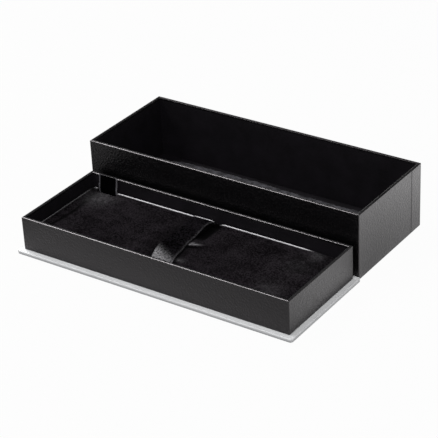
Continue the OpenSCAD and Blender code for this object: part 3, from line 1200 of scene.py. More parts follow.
@dataclass
class BasePlate:
    """Silver plate that carries the tray."""

    papering: Papering
    turn_in: float = 12.0
    core_in: float = 20.0
    corner_r: float = 1.8
    board_edge_r: float = 0.05
    top_flat: float = 0.25
    foot_wear: Flat = (0.8, 0.8)
    top_wear: Flat = (0.3, 0.0)
    # The two ends are rubbed less than the front and rear edges, over their last millimetre.
    clean_ends: float = 0.7
    end_l: float = 1.0

    def build(self, finishes: Finishes) -> None:
        """Builds the plate's cover and board, and dresses its underside.

        Args:
            finishes: The materials.
        """
        low, high = box_mm("base_cover")
        p, r = self.papering.paper_t, self.papering.edge_r
        section = [
            Step(-self.core_in, high.z - p), Step(-p, high.z - p), Step(-p, p), Step(-self.turn_in, p),
            Step(-self.turn_in, low.z), Step(-3 * r, low.z),
            *bend(-r, low.z + r, r, -90, 90, self.foot_wear), *bend(-r, high.z - r, r, 0, 90, self.top_wear),
            Step(-r - self.top_flat, high.z), Step(-self.core_in, high.z),
        ]
        shape = wrap(Outline(high.x, high.y, self.corner_r), section, closed=False)
        ends = Ramp(high.x - self.end_l, self.end_l)
        shape.marks[Patch.WEAR_AND_HIGHLIGHT] = [
            wear * (1 - self.clean_ends * ends.at(abs(x)))
            for wear, (x, _, _) in zip(shape.marks[Patch.WEAR_AND_HIGHLIGHT], shape.points)
        ]
        cover = shape.to_object("plate_cover", finishes.silver)
        seat(cover, Body.BASE, "silver_paper", "base_cover")
        low, high = box_mm("base_board")
        core = slab(Outline(high.x, high.y, self.corner_r - p), low.z, high.z, self.board_edge_r)
        board = core.to_object("plate_board", finishes.greyboard, smooth=False)
        seat(board, Body.BASE, "greyboard", "base_board")
        dress(finishes.silver, "base_underside_sheet")


@dataclass
class Tray:
    """Low black tray on the plate."""

    papering: Papering
    turn_in: float = 10.0

    def build(self, finishes: Finishes) -> None:
        """Builds the covering paper and its tapes, and dresses the boards and linings.

        Args:
            finishes: The materials.
        """
        low, high = box_mm("tray_wrap")
        sizes = self.papering
        outline = Outline(high.x, high.y, sizes.corner_r)
        section = [
            Step(-self.turn_in, low.z + sizes.paper_t), Step(-self.turn_in, low.z),
            Step(-3 * sizes.edge_r, low.z), *sizes.side(low.z, high.z),
        ]
        shape = wrap(outline, section, closed=True, rubbed=sizes.corner_wear_and_highlight)
        covering = shape.to_object("tray_covering", finishes.covering)
        seat(covering, Body.BASE, "black_grain_paper", "tray_wrap")
        tapes = sizes.tapes(outline, low.z, high.z).to_object("tray_tapes", finishes.tape, smooth=False)
        seat(tapes, Body.BASE, "stay_tape", "tray_corner_stays")
        dress(finishes.lining, "tray_lining", "tray_floor_sheet")
        dress(
            finishes.greyboard,
            "tray_floor_board", "tray_front_wall", "tray_rear_wall", "tray_left_wall", "tray_right_wall",
        )


@dataclass
class StrapPath:
    """Route of the pen strap: up from a leg, over the pad's edge, two loops and the sewn row between them."""

    place: float = -6.5
    drift: float = 8.0
    tack_y: float = 3.0
    width: float = 14.0
    thick: float = 0.8
    tail_y: float = 30.2
    tail_z: float = 5.0
    over_z: float = 14.75
    bend_r: float = 1.0
    curl: float = 0.1
    tail_steps: int = 8
    loop_steps: int = 6
    # Y, then the heights of the left and right edges: the rear loop is higher on its right, the front loop
    # on its left.
    loops: tuple[Place, ...] = (
        (29.2, 14.75, 14.75), (26.9, 14.75, 15.35), (22.6, 14.5, 16.2), (16.9, 14.15, 15.6),
        (11.2, 14.0, 14.45), (7.0, 14.0, 14.0), (4.2, 14.0, 14.0), (3.0, 14.0, 14.0), (1.8, 14.1, 14.0),
        (-1.0, 14.9, 14.0), (-5.0, 16.0, 14.15), (-9.0, 16.6, 14.7), (-13.0, 16.6, 15.25),
        (-17.0, 15.9, 15.1), (-21.0, 14.7, 14.4), (-24.0, 14.2, 14.1), (-27.0, 14.4, 14.4),
        (-29.2, 14.75, 14.75),
    )

    def at(self, y: float) -> float:
        """X of the strap's middle: straight behind the sewn row, drifting in front of it."""
        front = self.tack_y + self.tail_y + self.thick / 2
        return self.place + self.drift * max(0.0, (self.tack_y - y) / front)

    def tail(self, end: End) -> list[Place]:
        """Points from a tail's end over the pad's edge, each with its two heights.

        Args:
            end: The tail's side.

        Returns:
            Y and the heights of the left and right edges.
        """
        middle, top = self.tail_y - self.bend_r, self.over_z - self.bend_r
        line = []
        for i in range(self.tail_steps):
            line.append((self.tail_y, self.tail_z + (top - self.tail_z) * i / self.tail_steps))
        for i in range(self.tail_steps):
            a = math.radians(90 * i / self.tail_steps)
            line.append((middle + self.bend_r * math.cos(a), top + self.bend_r * math.sin(a)))
        return [(end.value * y, z, z) for y, z in line]

    def points(self) -> list[Place]:
        """The whole path from the rear tail to the front tail, smooth through the loops' points.

        Returns:
            Y and the heights of the left and right edges.
        """
        spots = [Vector(q) for q in self.loops]
        spots = [2 * spots[0] - spots[1], *spots, 2 * spots[-1] - spots[-2]]
        found: list[Place] = []
        for a, b, c, d in zip(spots, spots[1:], spots[2:], spots[3:]):
            square = 2 * a - 5 * b + 4 * c - d
            cube = 3 * b - a - 3 * c + d
            for i in range(self.loop_steps):
                s = i / self.loop_steps
                found.append(tuple(0.5 * (2 * b + (c - a) * s + square * s ** 2 + cube * s ** 3)))
        return self.tail(End.REAR) + found + [self.loops[-1]] + self.tail(End.FRONT)[::-1]


@dataclass
class Insert:
    """Velvet pad on its card, with the pen strap and the lift ribbon."""

    strap: StrapPath
    crest_z: float = 14.7
    dish_depth: float = 1.2
    dish_slope: float = 3.4
    corner_r: float = 4.0
    roll: float = 0.5
    roll_w: float = 0.9
    plump: float = 0.3
    unevenness: tuple[Place, ...] = ((0.12, 13.0, 2.5), (0.04, 4.0, 7.1))
    # Wide roll along the left edge, which ends before the corners and fades at its foot
    left_w: float = 5.0
    left_swell: float = 2.6
    left_swell_l: float = 20.0
    left_ends: Ramp = Ramp(3.0, 6.0)
    left_foot: Ramp = Ramp(2.0, 3.0)
    # Sunk rear-right corner, and the dip that the sewn row pulls
    sag: float = 1.1
    sag_reach: float = 16.0
    pull: float = 0.35
    pull_r: float = 5.0
    # Crease to the right of the sewn row
    fold_h: float = 0.9
    fold_l: float = 17.0
    fold_full_l: float = 5.0
    fold_back: float = 3.4
    fold_front: float = 0.7
    fold_off: float = 1.6
    fold_slant: float = 0.36
    fold_start: Ramp = Ramp(-1.0, 3.0)
    # Hollow to the right of the rear loop
    gape_h: float = 0.7
    gape_left: Ramp = Ramp(-2.0, 2.0)
    gape_right: Ramp = Ramp(3.9, 3.5)
    gape_rear: Ramp = Ramp(3.0, 9.0)
    # Tuck, about the rear-left corner
    tuck_spot: Spot = Spot(1.2, -3.0, 3.2)
    # Slots for the strap's tails, the ribbon's notch, and the dip round all three
    slot_clear: float = 0.2
    slot_depth: float = 2.0
    notch_depth: float = 3.2
    notch_clear: float = 0.4
    notch_dip: float = 0.35
    notch_soft: float = 0.8
    # Painted highlight along the raised edge, brightest at the rear, and on the crease
    crest_in: float = 0.25
    crest_w: float = 0.38
    crest_end: Ramp = Ramp(20.0, 7.0)
    crest_highlight: float = 0.92
    crest_uneven: tuple[Place, ...] = ((0.12, 3.0, 4.4),)
    rear_w: float = 2.5
    side_highlight: float = 0.16
    crease_highlight: float = 0.13
    crease_power: int = 9
    # Painted highlight beside the sewn row, and pale patches of painted light on the pad
    tack_highlight: Spot = Spot(2.0, 1.6, 1.1, 0.12)
    light_patch_uneven: tuple[Place, ...] = ((1.0, 2.2, 1.3),)
    light_patches: tuple[Spot, ...] = (
        Spot(-75.6, 21.6, 9.0, 0.026), Spot(70.0, 26.8, 4.0, 0.02), Spot(67.0, 13.0, 9.0, 0.007),
        Spot(66.0, -15.0, 8.0, 0.012), Spot(5.4, -14.2, 1.8, 0.035), Spot(8.4, -14.0, 2.0, 0.015),
    )
    # Painted shade to the right and left of the front loop
    beside_dark: float = 0.7
    beside_right_r: float = 3.2
    beside_rear: Ramp = Ramp(-1.0, 4.0)
    beside_front: Ramp = Ramp(-32.0, 10.0)
    beside_left: float = 0.7
    beside_left_r: float = 6.0
    # Painted shade before the crease, at the right end, at the left roll's foot, in the hollow and in the tuck
    before_at: float = 4.5
    before_l: float = 7.0
    before_off: float = 3.5
    before_w: float = 1.1
    right_dark: float = 0.8
    right_dark_w: float = 2.0
    foot_dark_w: float = 1.2
    gape_dark: float = 1.3
    tuck_dark: float = 0.9
    # Painted highlight on the strap, over the pad's rear edge and down its front slope
    over_highlight: float = 0.85
    over_w: float = 0.42
    over_top: Ramp = Ramp(-0.5, 1.0)
    slope_highlight: float = 0.145
    slope_skew: float = 0.5
    slope_run: Ramp = Ramp(7.5, 13.0)
    slope_top: Ramp = Ramp(13.6, 0.4)
    # Velvet's grid: width of its fine border, spacing there, and spacing along and across the rest
    grid_edge: float = 5.0
    grid_fine: float = 0.35
    grid_x: float = 1.0
    grid_y: float = 0.6
    # Hem: how far its side bulges at two heights, and how far it turns in under the card
    side_out: float = 0.1
    side_up: float = 0.6
    hem_out: float = 0.15
    hem_in: float = 0.5
    hem_z: float = 8.7
    # Foam under the velvet
    foam_in: float = 0.2
    foam_edge_r: float = 0.4
    # Lift ribbon, which sways sideways. Its turn is in radians for each millimetre of height.
    ribbon_low_y: float = 30.0
    ribbon_high_y: float = 30.55
    ribbon_lean_h: float = 4.0
    ribbon_thick: float = 0.4
    ribbon_curl: float = 0.1
    ribbon_steps: int = 48
    ribbon_sway: float = 0.25
    ribbon_turn: float = 0.42
    # Stitches. How far each rises over the strap and dips at its ends is in radii of the thread.
    stitch_l: float = 1.6
    stitch_pitch: float = 2.6
    stitch_facets: int = 8
    stitch_up: float = 0.7
    stitch_dip: float = 1.6
    thread_t: float = 0.35

    def __post_init__(self) -> None:
        """Takes the pad's outline and the ribbon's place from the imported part."""
        low, high = box_mm("insert_velvet")
        self.outline = Outline(high.x, high.y, self.corner_r)
        self.under_z = low.z
        self.ribbon_low, self.ribbon_high = box_mm("lift_ribbon")

    def notches(self) -> list[tuple[float, float, float, float]]:
        """Cuts in the pad's edge for the strap's front and rear tails and for the ribbon.

        Returns:
            The limits of each in X, then in Y.
        """
        hy, half = self.outline.hy, self.strap.width / 2 + self.slot_clear
        front, rear = self.strap.at(-hy), self.strap.at(hy)
        left, right = self.ribbon_low.x - self.notch_clear, self.ribbon_high.x + self.notch_clear
        return [
            (front - half, front + half, -hy, -hy + self.slot_depth),
            (rear - half, rear + half, hy - self.slot_depth, hy),
            (left, right, hy - self.notch_depth, hy),
        ]

    def notch_gap(self, x: float, y: float) -> float:
        """Distance from a point to the nearest notch, 0 inside one."""
        return min(
            math.hypot(max(x0 - x, 0, x - x1), max(y0 - y, 0, y - y1)) for x0, x1, y0, y1 in self.notches()
        )

    def off_notch(self, x: float, y: float) -> float:
        """How far a point is clear of the notches' soft edges, from 0 to 1."""
        return ease(self.notch_gap(x, y) / self.notch_soft)

    def right_of_tack(self, x: float) -> float:
        """How far a point lies to the right of the strap behind the sewn row."""
        return x - self.strap.place - self.strap.width / 2

    def height(self, x: float, y: float) -> float:
        """Height of the velvet's surface.

        Args:
            x, y: Place on the pad.

        Returns:
            The height.
        """
        o, s = self.outline, self.strap
        d = edge_in(x, y, o.hx, o.hy, o.r)
        inside = ease(d / self.dish_slope)
        slope = Ramp(self.roll_w, self.dish_slope).at(d)
        foot, held = self.left_roll(x, y)
        left_slope = Ramp(self.roll_w, foot - self.roll_w).at(x + o.hx)
        along = min(1.0, abs(x - s.place) / (o.hx - abs(s.place)))
        z = self.crest_z - self.dish_depth * slope + self.dish_depth * held * (slope - left_slope)
        z -= self.roll * (1 - ease(d / self.roll_w))
        z -= self.sag * bell(math.hypot(x - o.hx, y - o.hy), self.sag_reach) * (1 - inside)
        z += self.plump * ease(d / self.dish_slope - 1) * math.sin(math.pi * along) ** 2
        z -= self.pull * bell(math.hypot((x - s.place) / 2, y - s.tack_y), self.pull_r)
        z += self.fold_h * self.wrinkle(x, y)
        z -= self.notch_dip * (1 - self.off_notch(x, y)) + self.gape_h * self.gape(x, y)
        return z + inside * waves(x, y, self.unevenness)

    def left_roll(self, x: float, y: float) -> Flat:
        """Wider roll of loose velvet along the left edge.

        Args:
            x, y: Place on the pad.

        Returns:
            How far from the edge its foot lies, and how far the place belongs to it, from 0 to 1.
        """
        o = self.outline
        foot = self.left_w + self.left_swell * bell(y, self.left_swell_l)
        return foot, self.left_ends.at(o.hy - abs(y)) * (1 - self.left_foot.at(x + o.hx - foot))

    def wrinkle(self, x: float, y: float) -> float:
        """Crease that the sewn row pulls up to the right, with a long slope behind it and a steep front.

        Args:
            x, y: Place on the pad.

        Returns:
            From 0 to 1.
        """
        along = self.right_of_tack(x)
        off = y - self.strap.tack_y + self.fold_off - self.fold_slant * along
        end = Ramp(self.fold_full_l, self.fold_l - self.fold_full_l)
        run = self.fold_start.at(along) * (1 - end.at(along))
        return run * bell(off, self.fold_back if off > 0 else self.fold_front)

    def gape(self, x: float, y: float) -> float:
        """Hollow beside the strap's rear loop, open to the pad's rear edge, from 0 to 1."""
        right, behind = self.right_of_tack(x), y - self.strap.tack_y
        return self.gape_left.at(right) * (1 - self.gape_right.at(right)) * self.gape_rear.at(behind)

    def tuck(self, x: float, y: float) -> float:
        """Tucked velvet at the rear-left corner, from 0 to 1."""
        return self.tuck_spot.at(x + self.outline.hx, y - self.outline.hy)

    def painted_highlight_at(self, x: float, y: float) -> float:
        """Painted highlight: how pale the pile is drawn along the fold over the pad's edge, on the crease, in
        patches and beside the sewn row.

        Args:
            x, y: Place on the pad.

        Returns:
            From 0 to 1.
        """
        o = self.outline
        d = edge_in(x, y, o.hx, o.hy, o.r)
        crest = bell(d - self.roll_w - self.crest_in, self.crest_w) * self.off_notch(x, y)
        crest *= self.crest_end.at(math.hypot(x - o.hx, y - o.hy))
        crest *= (1 - self.gape(x, y)) * (1 - self.tuck(x, y))
        crest *= self.crest_highlight + waves(x, y, self.crest_uneven)
        crest *= 1.0 if y > o.hy - self.rear_w else self.side_highlight
        crease = self.crease_highlight * self.wrinkle(x, y) ** self.crease_power
        patch_light = sum(spot.at(x, y) for spot in self.light_patches) * (1 + waves(x, y, self.light_patch_uneven))
        tack = self.tack_highlight.at(self.right_of_tack(x), y - self.strap.tack_y)
        return min(1.0, crest + crease + patch_light + tack)

    def painted_shade_at(self, x: float, y: float) -> float:
        """Painted shade: how dark the pile is drawn beside the strap, before the crease, along the two ends,
        in the hollow and in the tuck.

        Args:
            x, y: Place on the pad.

        Returns:
            From 0 to 1.
        """
        o, s = self.outline, self.strap
        right = x - s.at(y) - s.width / 2
        beside = self.beside_rear.at(s.tack_y - y) * self.beside_front.at(y)
        beside *= bell(right, self.beside_right_r)
        beside += self.beside_left * bell(right + s.width, self.beside_left_r)
        along = self.right_of_tack(x)
        off = y - s.tack_y + self.before_off - self.fold_slant * along
        before = bell(along - self.before_at, self.before_l) * bell(off, self.before_w)
        foot, held = self.left_roll(x, y)
        ends = held * bell(x + o.hx - foot, self.foot_dark_w)
        ends += self.right_dark * bell(o.hx - x, self.right_dark_w)
        hollow = ease(self.gape_dark * self.gape(x, y)) + self.tuck_dark * self.tuck(x, y)
        return min(1.0, hollow + self.beside_dark * beside + before + ends)

    def build(self, finishes: Finishes) -> None:
        """Builds the soft pieces and dresses the card and its legs.

        Args:
            finishes: The materials.
        """
        self._velvet(finishes)
        self._foam(finishes)
        self._strap(finishes)
        self._ribbon(finishes)
        dress(finishes.greyboard, "insert_card", "insert_front_leg", "insert_rear_leg")

    def _velvet(self, finishes: Finishes) -> None:
        """Velvet cover over the foam, turned down over the card's edge.

        Args:
            finishes: The materials.
        """
        o = self.outline
        front, rear, ribbon = self.notches()
        sides = sorted({x for notch in (front, rear, ribbon) for x in notch[:2]})
        hems = [
            (self.side_out, self.under_z + self.side_up), (self.hem_out, self.under_z),
            (self.hem_out, self.hem_z), (-self.hem_in, self.hem_z),
        ]
        cloth = Cloth(
            o,
            graded(o.hx, self.grid_edge, self.grid_fine, self.grid_x, sides),
            graded(o.hy, self.grid_edge, self.grid_fine, self.grid_y, [front[3], rear[2], ribbon[2]]),
            self.height, hems, cut=lambda x, y: self.notch_gap(x, y) <= 0,
        )
        shape = cloth.shape({Patch.PAINTED_HIGHLIGHT: self.painted_highlight_at, Patch.PAINTED_SHADE: self.painted_shade_at})
        cover = shape.to_object("velvet_cover", finishes.velvet)
        seat(cover, Body.INSERT, "black_velvet", "insert_velvet")

    def _foam(self, finishes: Finishes) -> None:
        """Foam sheet between the card and the velvet.

        Args:
            finishes: The materials.
        """
        low, high = box_mm("insert_foam")
        core = Outline(high.x - self.foam_in, high.y - self.notch_depth, self.corner_r)
        foam = slab(core, low.z, high.z, self.foam_edge_r).to_object("pad_foam", finishes.foam)
        seat(foam, Body.INSERT, "foam", "insert_foam")

    def _strap(self, finishes: Finishes) -> None:
        """Velvet strap with its two loops, and the stitches between them.

        Args:
            finishes: The materials.
        """
        s = self.strap
        path = s.points()
        places = [s.at(q[0]) for q in path]
        shape = band(path, places, s.width, s.thick, s.curl)
        # Painted highlight on the strap where it bends over the pad's edge and down its front slope
        shape.marks[Patch.PAINTED_HIGHLIGHT] = [self._strap_highlight(*q) for q in shape.points]
        # Painted edge highlight, kept only along the strap's right edge
        shape.marks[Patch.EDGE_HIGHLIGHT] = [
            v * ease(q[0] - s.at(q[1])) for v, q in zip(shape.marks[Patch.EDGE_HIGHLIGHT], shape.points)
        ]
        strap = shape.to_object("velvet_strap", finishes.strap)
        seat(strap, Body.INSERT, "strap_velvet", "pen_strap")
        sewn_z = min(path, key=lambda q: abs(q[0] - s.tack_y))[1] + s.thick / 2
        count = math.floor((s.width - self.stitch_l) / self.stitch_pitch)
        row = Shape()
        for i in range(count + 1):
            row.join(self._stitch(s.place + (i - count / 2) * self.stitch_pitch, s.tack_y, sewn_z))
        stitches = row.to_object("tack_stitches", finishes.thread)
        seat(stitches, Body.INSERT, "sewing_thread", "strap_stitches")

    def _strap_highlight(self, x: float, y: float, z: float) -> float:
        """Painted highlight on the strap: where it bends over the pad's edge and down its front slope.

        Args:
            x, y, z: Point of the strap.

        Returns:
            From 0 to 1.
        """
        s, bent = self.strap, self.outline.hy - self.roll_w - self.crest_in
        over = self.over_highlight * bell(y - bent, self.over_w) * self.over_top.at(z - s.over_z)
        slope = self.slope_run.at(-y - self.slope_skew * (x - s.at(y)))
        return over + self.slope_highlight * slope ** 2 * self.slope_top.at(z)

    def _stitch(self, x: float, y: float, z: float) -> Shape:
        """One stitch of thread that dips into the strap at both ends.

        Args:
            x, y: Its middle.
            z: Top of the strap.

        Returns:
            The thread's shape.
        """
        r, n = self.thread_t / 2, self.stitch_facets
        made = Shape(faces=tube(n + 1, n))
        for i in range(n + 1):
            t = 2 * i / n - 1
            mid_z = z + r * self.stitch_up - self.stitch_dip * r * t ** 4
            for k in range(n):
                a = 2 * math.pi * k / n
                made.points.append((x + t * self.stitch_l / 2, y + r * math.cos(a), mid_z + r * math.sin(a)))
        return made

    def _ribbon(self, finishes: Finishes) -> None:
        """Satin ribbon that stands against the tray's rear wall.

        Args:
            finishes: The materials.
        """
        low, high = self.ribbon_low, self.ribbon_high
        middle, width = (low.x + high.x) / 2, high.x - low.x
        path: list[Place] = []
        for i in range(self.ribbon_steps + 1):
            z = low.z + (high.z - low.z) * i / self.ribbon_steps
            lean = Ramp(self.crest_z, self.ribbon_lean_h).at(z)
            path.append((self.ribbon_low_y + (self.ribbon_high_y - self.ribbon_low_y) * lean, z, z))
        places = [middle + self.ribbon_sway * math.sin((z - low.z) * self.ribbon_turn) for _, z, _ in path]
        shape = band(path, places, width, self.ribbon_thick, self.ribbon_curl)
        ribbon = shape.to_object("satin_lift_ribbon", finishes.satin)
        seat(ribbon, Body.INSERT, "satin_ribbon", "lift_ribbon")


@dataclass
class Lid:
    """Deep lid that lies behind the tray on its top."""

    papering: Papering
    seam_lap: float = 11.0
    # Edge of the lap: how far out each step lies, how far in from the lap's edge, and its wear
    lap_steps: tuple[Place, ...] = ((0.0, 0.0, 0.5), (0.08, 0.02, 0.6), (0.12, 0.12, 0.2), (0.12, 0.4, 0.0))
    sheet_in: float = 1.0
    sheet_gap: float = 0.05
    sheet_r: float = 0.3
    sheet_edge_r: float = 0.05
    # The rear rim isn't rubbed by hands and stays matt: wear below 0, picked out with a little to spare.
    matt_rear: float = 1.5
    spare: float = 0.05
    pad_r: float = 4.0
    crown: float = 0.6
    cover_t: float = 0.3
    foam_in: float = 7.0
    foam_gap: float = 0.05
    foam_edge_r: float = 0.2
    # Pad's rear edge: how far it is drawn in everywhere, and further to the right and at the left end
    drawn: float = 2.4
    drawn_right: float = 1.3
    right_part: Ramp = Ramp(-15.0, 30.0)
    drawn_left: float = 3.2
    left_end: Ramp = Ramp(66.0, 14.0)
    ragged: tuple[Place, ...] = ((0.6, 5.0, 3.3), (0.6, 1.8, 6.1))
    # Puckers along the pad's edge, and its slow swell away from the edge
    puckers: tuple[Place, ...] = ((0.3, 7.0, 1.7), (0.2, 3.2, 5.2))
    pucker_w: float = 12.0
    swell: tuple[Place, ...] = ((0.15, 22.0, 8.8),)
    swell_from: float = 6.0
    # Pad's grid: width of its fine border, spacing there, and spacing along and across the rest
    grid_edge: float = 6.0
    grid_fine: float = 0.6
    grid_x: float = 0.8
    grid_y: float = 1.6
    # Hem of the pad: how far its side bulges and at what height, and how far it turns in
    hem_out: float = 0.05
    hem_up: float = 0.1
    hem_in: float = 0.9

    def __post_init__(self) -> None:
        """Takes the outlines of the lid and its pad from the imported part."""
        low, high = box_mm("lid_top_sheet")
        self.outline = Outline(
            (high.x - low.x) / 2, (high.y - low.y) / 2, self.papering.corner_r,
            (high.x + low.x) / 2, (high.y + low.y) / 2,
        )
        self.rim_z = box_mm("lid_wrap")[1].z
        low, high = box_mm("lid_pad_cover")
        self.pad = Outline(
            (high.x - low.x) / 2, (high.y - low.y) / 2, self.pad_r, self.outline.cx, self.outline.cy
        )
        self.hem_z = low.z + self.hem_up
        self.foam_low, self.foam_high = box_mm("lid_pad_foam")

    def build(self, finishes: Finishes) -> None:
        """Builds the covering papers, tapes and pad, and dresses the boards and the lining.

        Args:
            finishes: The materials.
        """
        o, sizes = self.outline, self.papering
        section = [Step(-self.sheet_in, sizes.paper_t), Step(-self.sheet_in, 0), *sizes.side(0, self.rim_z)]
        shape = wrap(o, section, closed=True, rubbed=sizes.corner_wear_and_highlight)
        mouth_y, end_x = o.cy + o.hy - sizes.wall_t - self.spare, o.hx - o.r + self.spare
        face_z = sizes.rim(self.rim_z)[0].z + self.spare
        shape.marks[Patch.WEAR_AND_HIGHLIGHT] = [
            -self.matt_rear if y > mouth_y and abs(x - o.cx) < end_x and z > face_z else v
            for v, (x, y, z) in zip(shape.marks[Patch.WEAR_AND_HIGHLIGHT], shape.points)
        ]
        covering = shape.join(self._lap()).to_object("lid_covering", finishes.covering)
        seat(covering, Body.LID, "black_grain_paper", "lid_wrap")
        inset = self.sheet_in + self.sheet_gap
        inner = Outline(o.hx - inset, o.hy - inset, self.sheet_r, o.cx, o.cy)
        flat = slab(inner, 0, sizes.paper_t, self.sheet_edge_r)
        sheet = flat.to_object("lid_outer_sheet", finishes.covering)
        seat(sheet, Body.LID, "black_grain_paper", "lid_top_sheet")
        tapes = sizes.tapes(o, 0, self.rim_z).to_object("lid_tapes", finishes.tape, smooth=False)
        seat(tapes, Body.LID, "stay_tape", "lid_corner_stays")
        dress(finishes.lining, "lid_lining")
        dress(finishes.greyboard, "lid_front_wall", "lid_rear_wall", "lid_left_wall", "lid_right_wall")
        dress(finishes.lined_board, "lid_top_board")
        self._pad(finishes)

    def _lap(self) -> Shape:
        """Lap of the covering paper on the lid's right side, a thin step beside the rear corner.

        Returns:
            The lap's steps and face, open towards the paper under it.
        """
        o, sizes = self.outline, self.papering
        x, y0, y1 = o.cx + o.hx, o.cy + o.hy - self.seam_lap, o.cy + o.hy - sizes.corner_r
        z0, z1 = sizes.edge_r, self.rim_z - sizes.rim_r
        made = Shape(marks={Patch.WEAR_AND_HIGHLIGHT: []})
        for out, inset, wear in self.lap_steps:
            made.points += [
                (x + out, y0 + inset, z0 + inset), (x + out, y1 - inset, z0 + inset),
                (x + out, y1 - inset, z1 - inset), (x + out, y0 + inset, z1 - inset),
            ]
            made.marks[Patch.WEAR_AND_HIGHLIGHT] += [wear, 0.0, 0.0, wear]
        last = 4 * (len(self.lap_steps) - 1)
        made.faces = [face for a in range(0, last, 4) for face in ring(a, a + 4, 4)]
        made.faces.append(tuple(range(last, last + 4)))
        return made

    def _drawn_in(self, x: float, y: float) -> float:
        """Y of a place on the pad whose rear edge is drawn in unevenly.

        Args:
            x, y: The place, about the lid's middle.

        Returns:
            The new Y.
        """
        half = self.outline.hy
        far = self.drawn + self.drawn_right * self.right_part.at(x) + self.drawn_left * self.left_end.at(-x)
        return y - (far + waves(x, 0, self.ragged)) * Ramp(-half, 2 * half).at(y)

    def _pad_height(self, x: float, y: float) -> float:
        """Height of the pad's cover: a soft crown with uneven puckers along its edge.

        Args:
            x, y: The place, about the lid's middle.

        Returns:
            The height.
        """
        pad = self.pad
        d = edge_in(x, y, pad.hx, pad.hy, pad.r)
        rise = self.crown * math.sqrt(ease(d / (pad.hy / 2)))
        pucker = (1 - ease(d / self.pucker_w)) * waves(x, y, self.puckers)
        swell = waves(x, y, self.swell) * ease(d / self.swell_from)
        return self.foam_high.z + self.cover_t + rise + pucker + swell

    def _pad(self, finishes: Finishes) -> None:
        """Soft pad inside the lid's top: a foam sheet under a brushed cover with a wavy edge.

        Args:
            finishes: The materials.
        """
        o, pad, low, high = self.outline, self.pad, self.foam_low, self.foam_high
        core = Outline(
            (high.x - low.x) / 2 - self.foam_in, (high.y - low.y) / 2 - self.foam_in, self.pad_r, o.cx, o.cy
        )
        sheet = slab(core, low.z, high.z - self.foam_gap, self.foam_edge_r)
        foam = sheet.to_object("lid_foam", finishes.foam)
        seat(foam, Body.LID, "foam", "lid_pad_foam")
        foot_z = low.z + self.foam_gap
        cloth = Cloth(
            pad,
            graded(pad.hx, self.grid_edge, self.grid_fine, self.grid_x),
            graded(pad.hy, self.grid_edge, self.grid_fine, self.grid_y),
            self._pad_height, [(self.hem_out, self.hem_z), (0.0, foot_z), (-self.hem_in, foot_z)],
        )
        shape = cloth.shape()
        shape.points = [(x, self._drawn_in(x - o.cx, y - o.cy) + o.cy, z) for x, y, z in shape.points]
        cover = shape.to_object("lid_pad_cloth", finishes.cloth)
        seat(cover, Body.LID, "pad_fabric", "lid_pad_cover")


# Studio


@dataclass(frozen=True)
class Softbox:
    """Rectangular lamp that faces the case, its first side as level as it can be."""

    name: str
    place: Place
    size: Flat
    watts: float

    def build(self) -> None:
        """Builds the lamp."""
        data = bpy.data.lights.new(self.name, "AREA")
        data.shape = "RECTANGLE"
        data.size, data.size_y = (v * MM for v in self.size)
        data.energy = self.watts
        light = bpy.data.objects.new(self.name, data)
        place = Vector(self.place) * MM
        back = place.normalized()
        across = (Vector((1, 0, 0)) - back * back.x).normalized()
        turned = Matrix((across, back.cross(across), back)).transposed().to_4x4()
        light.matrix_world = Matrix.Translation(place) @ turned
        light.visible_camera = False
        bpy.context.scene.collection.objects.link(light)


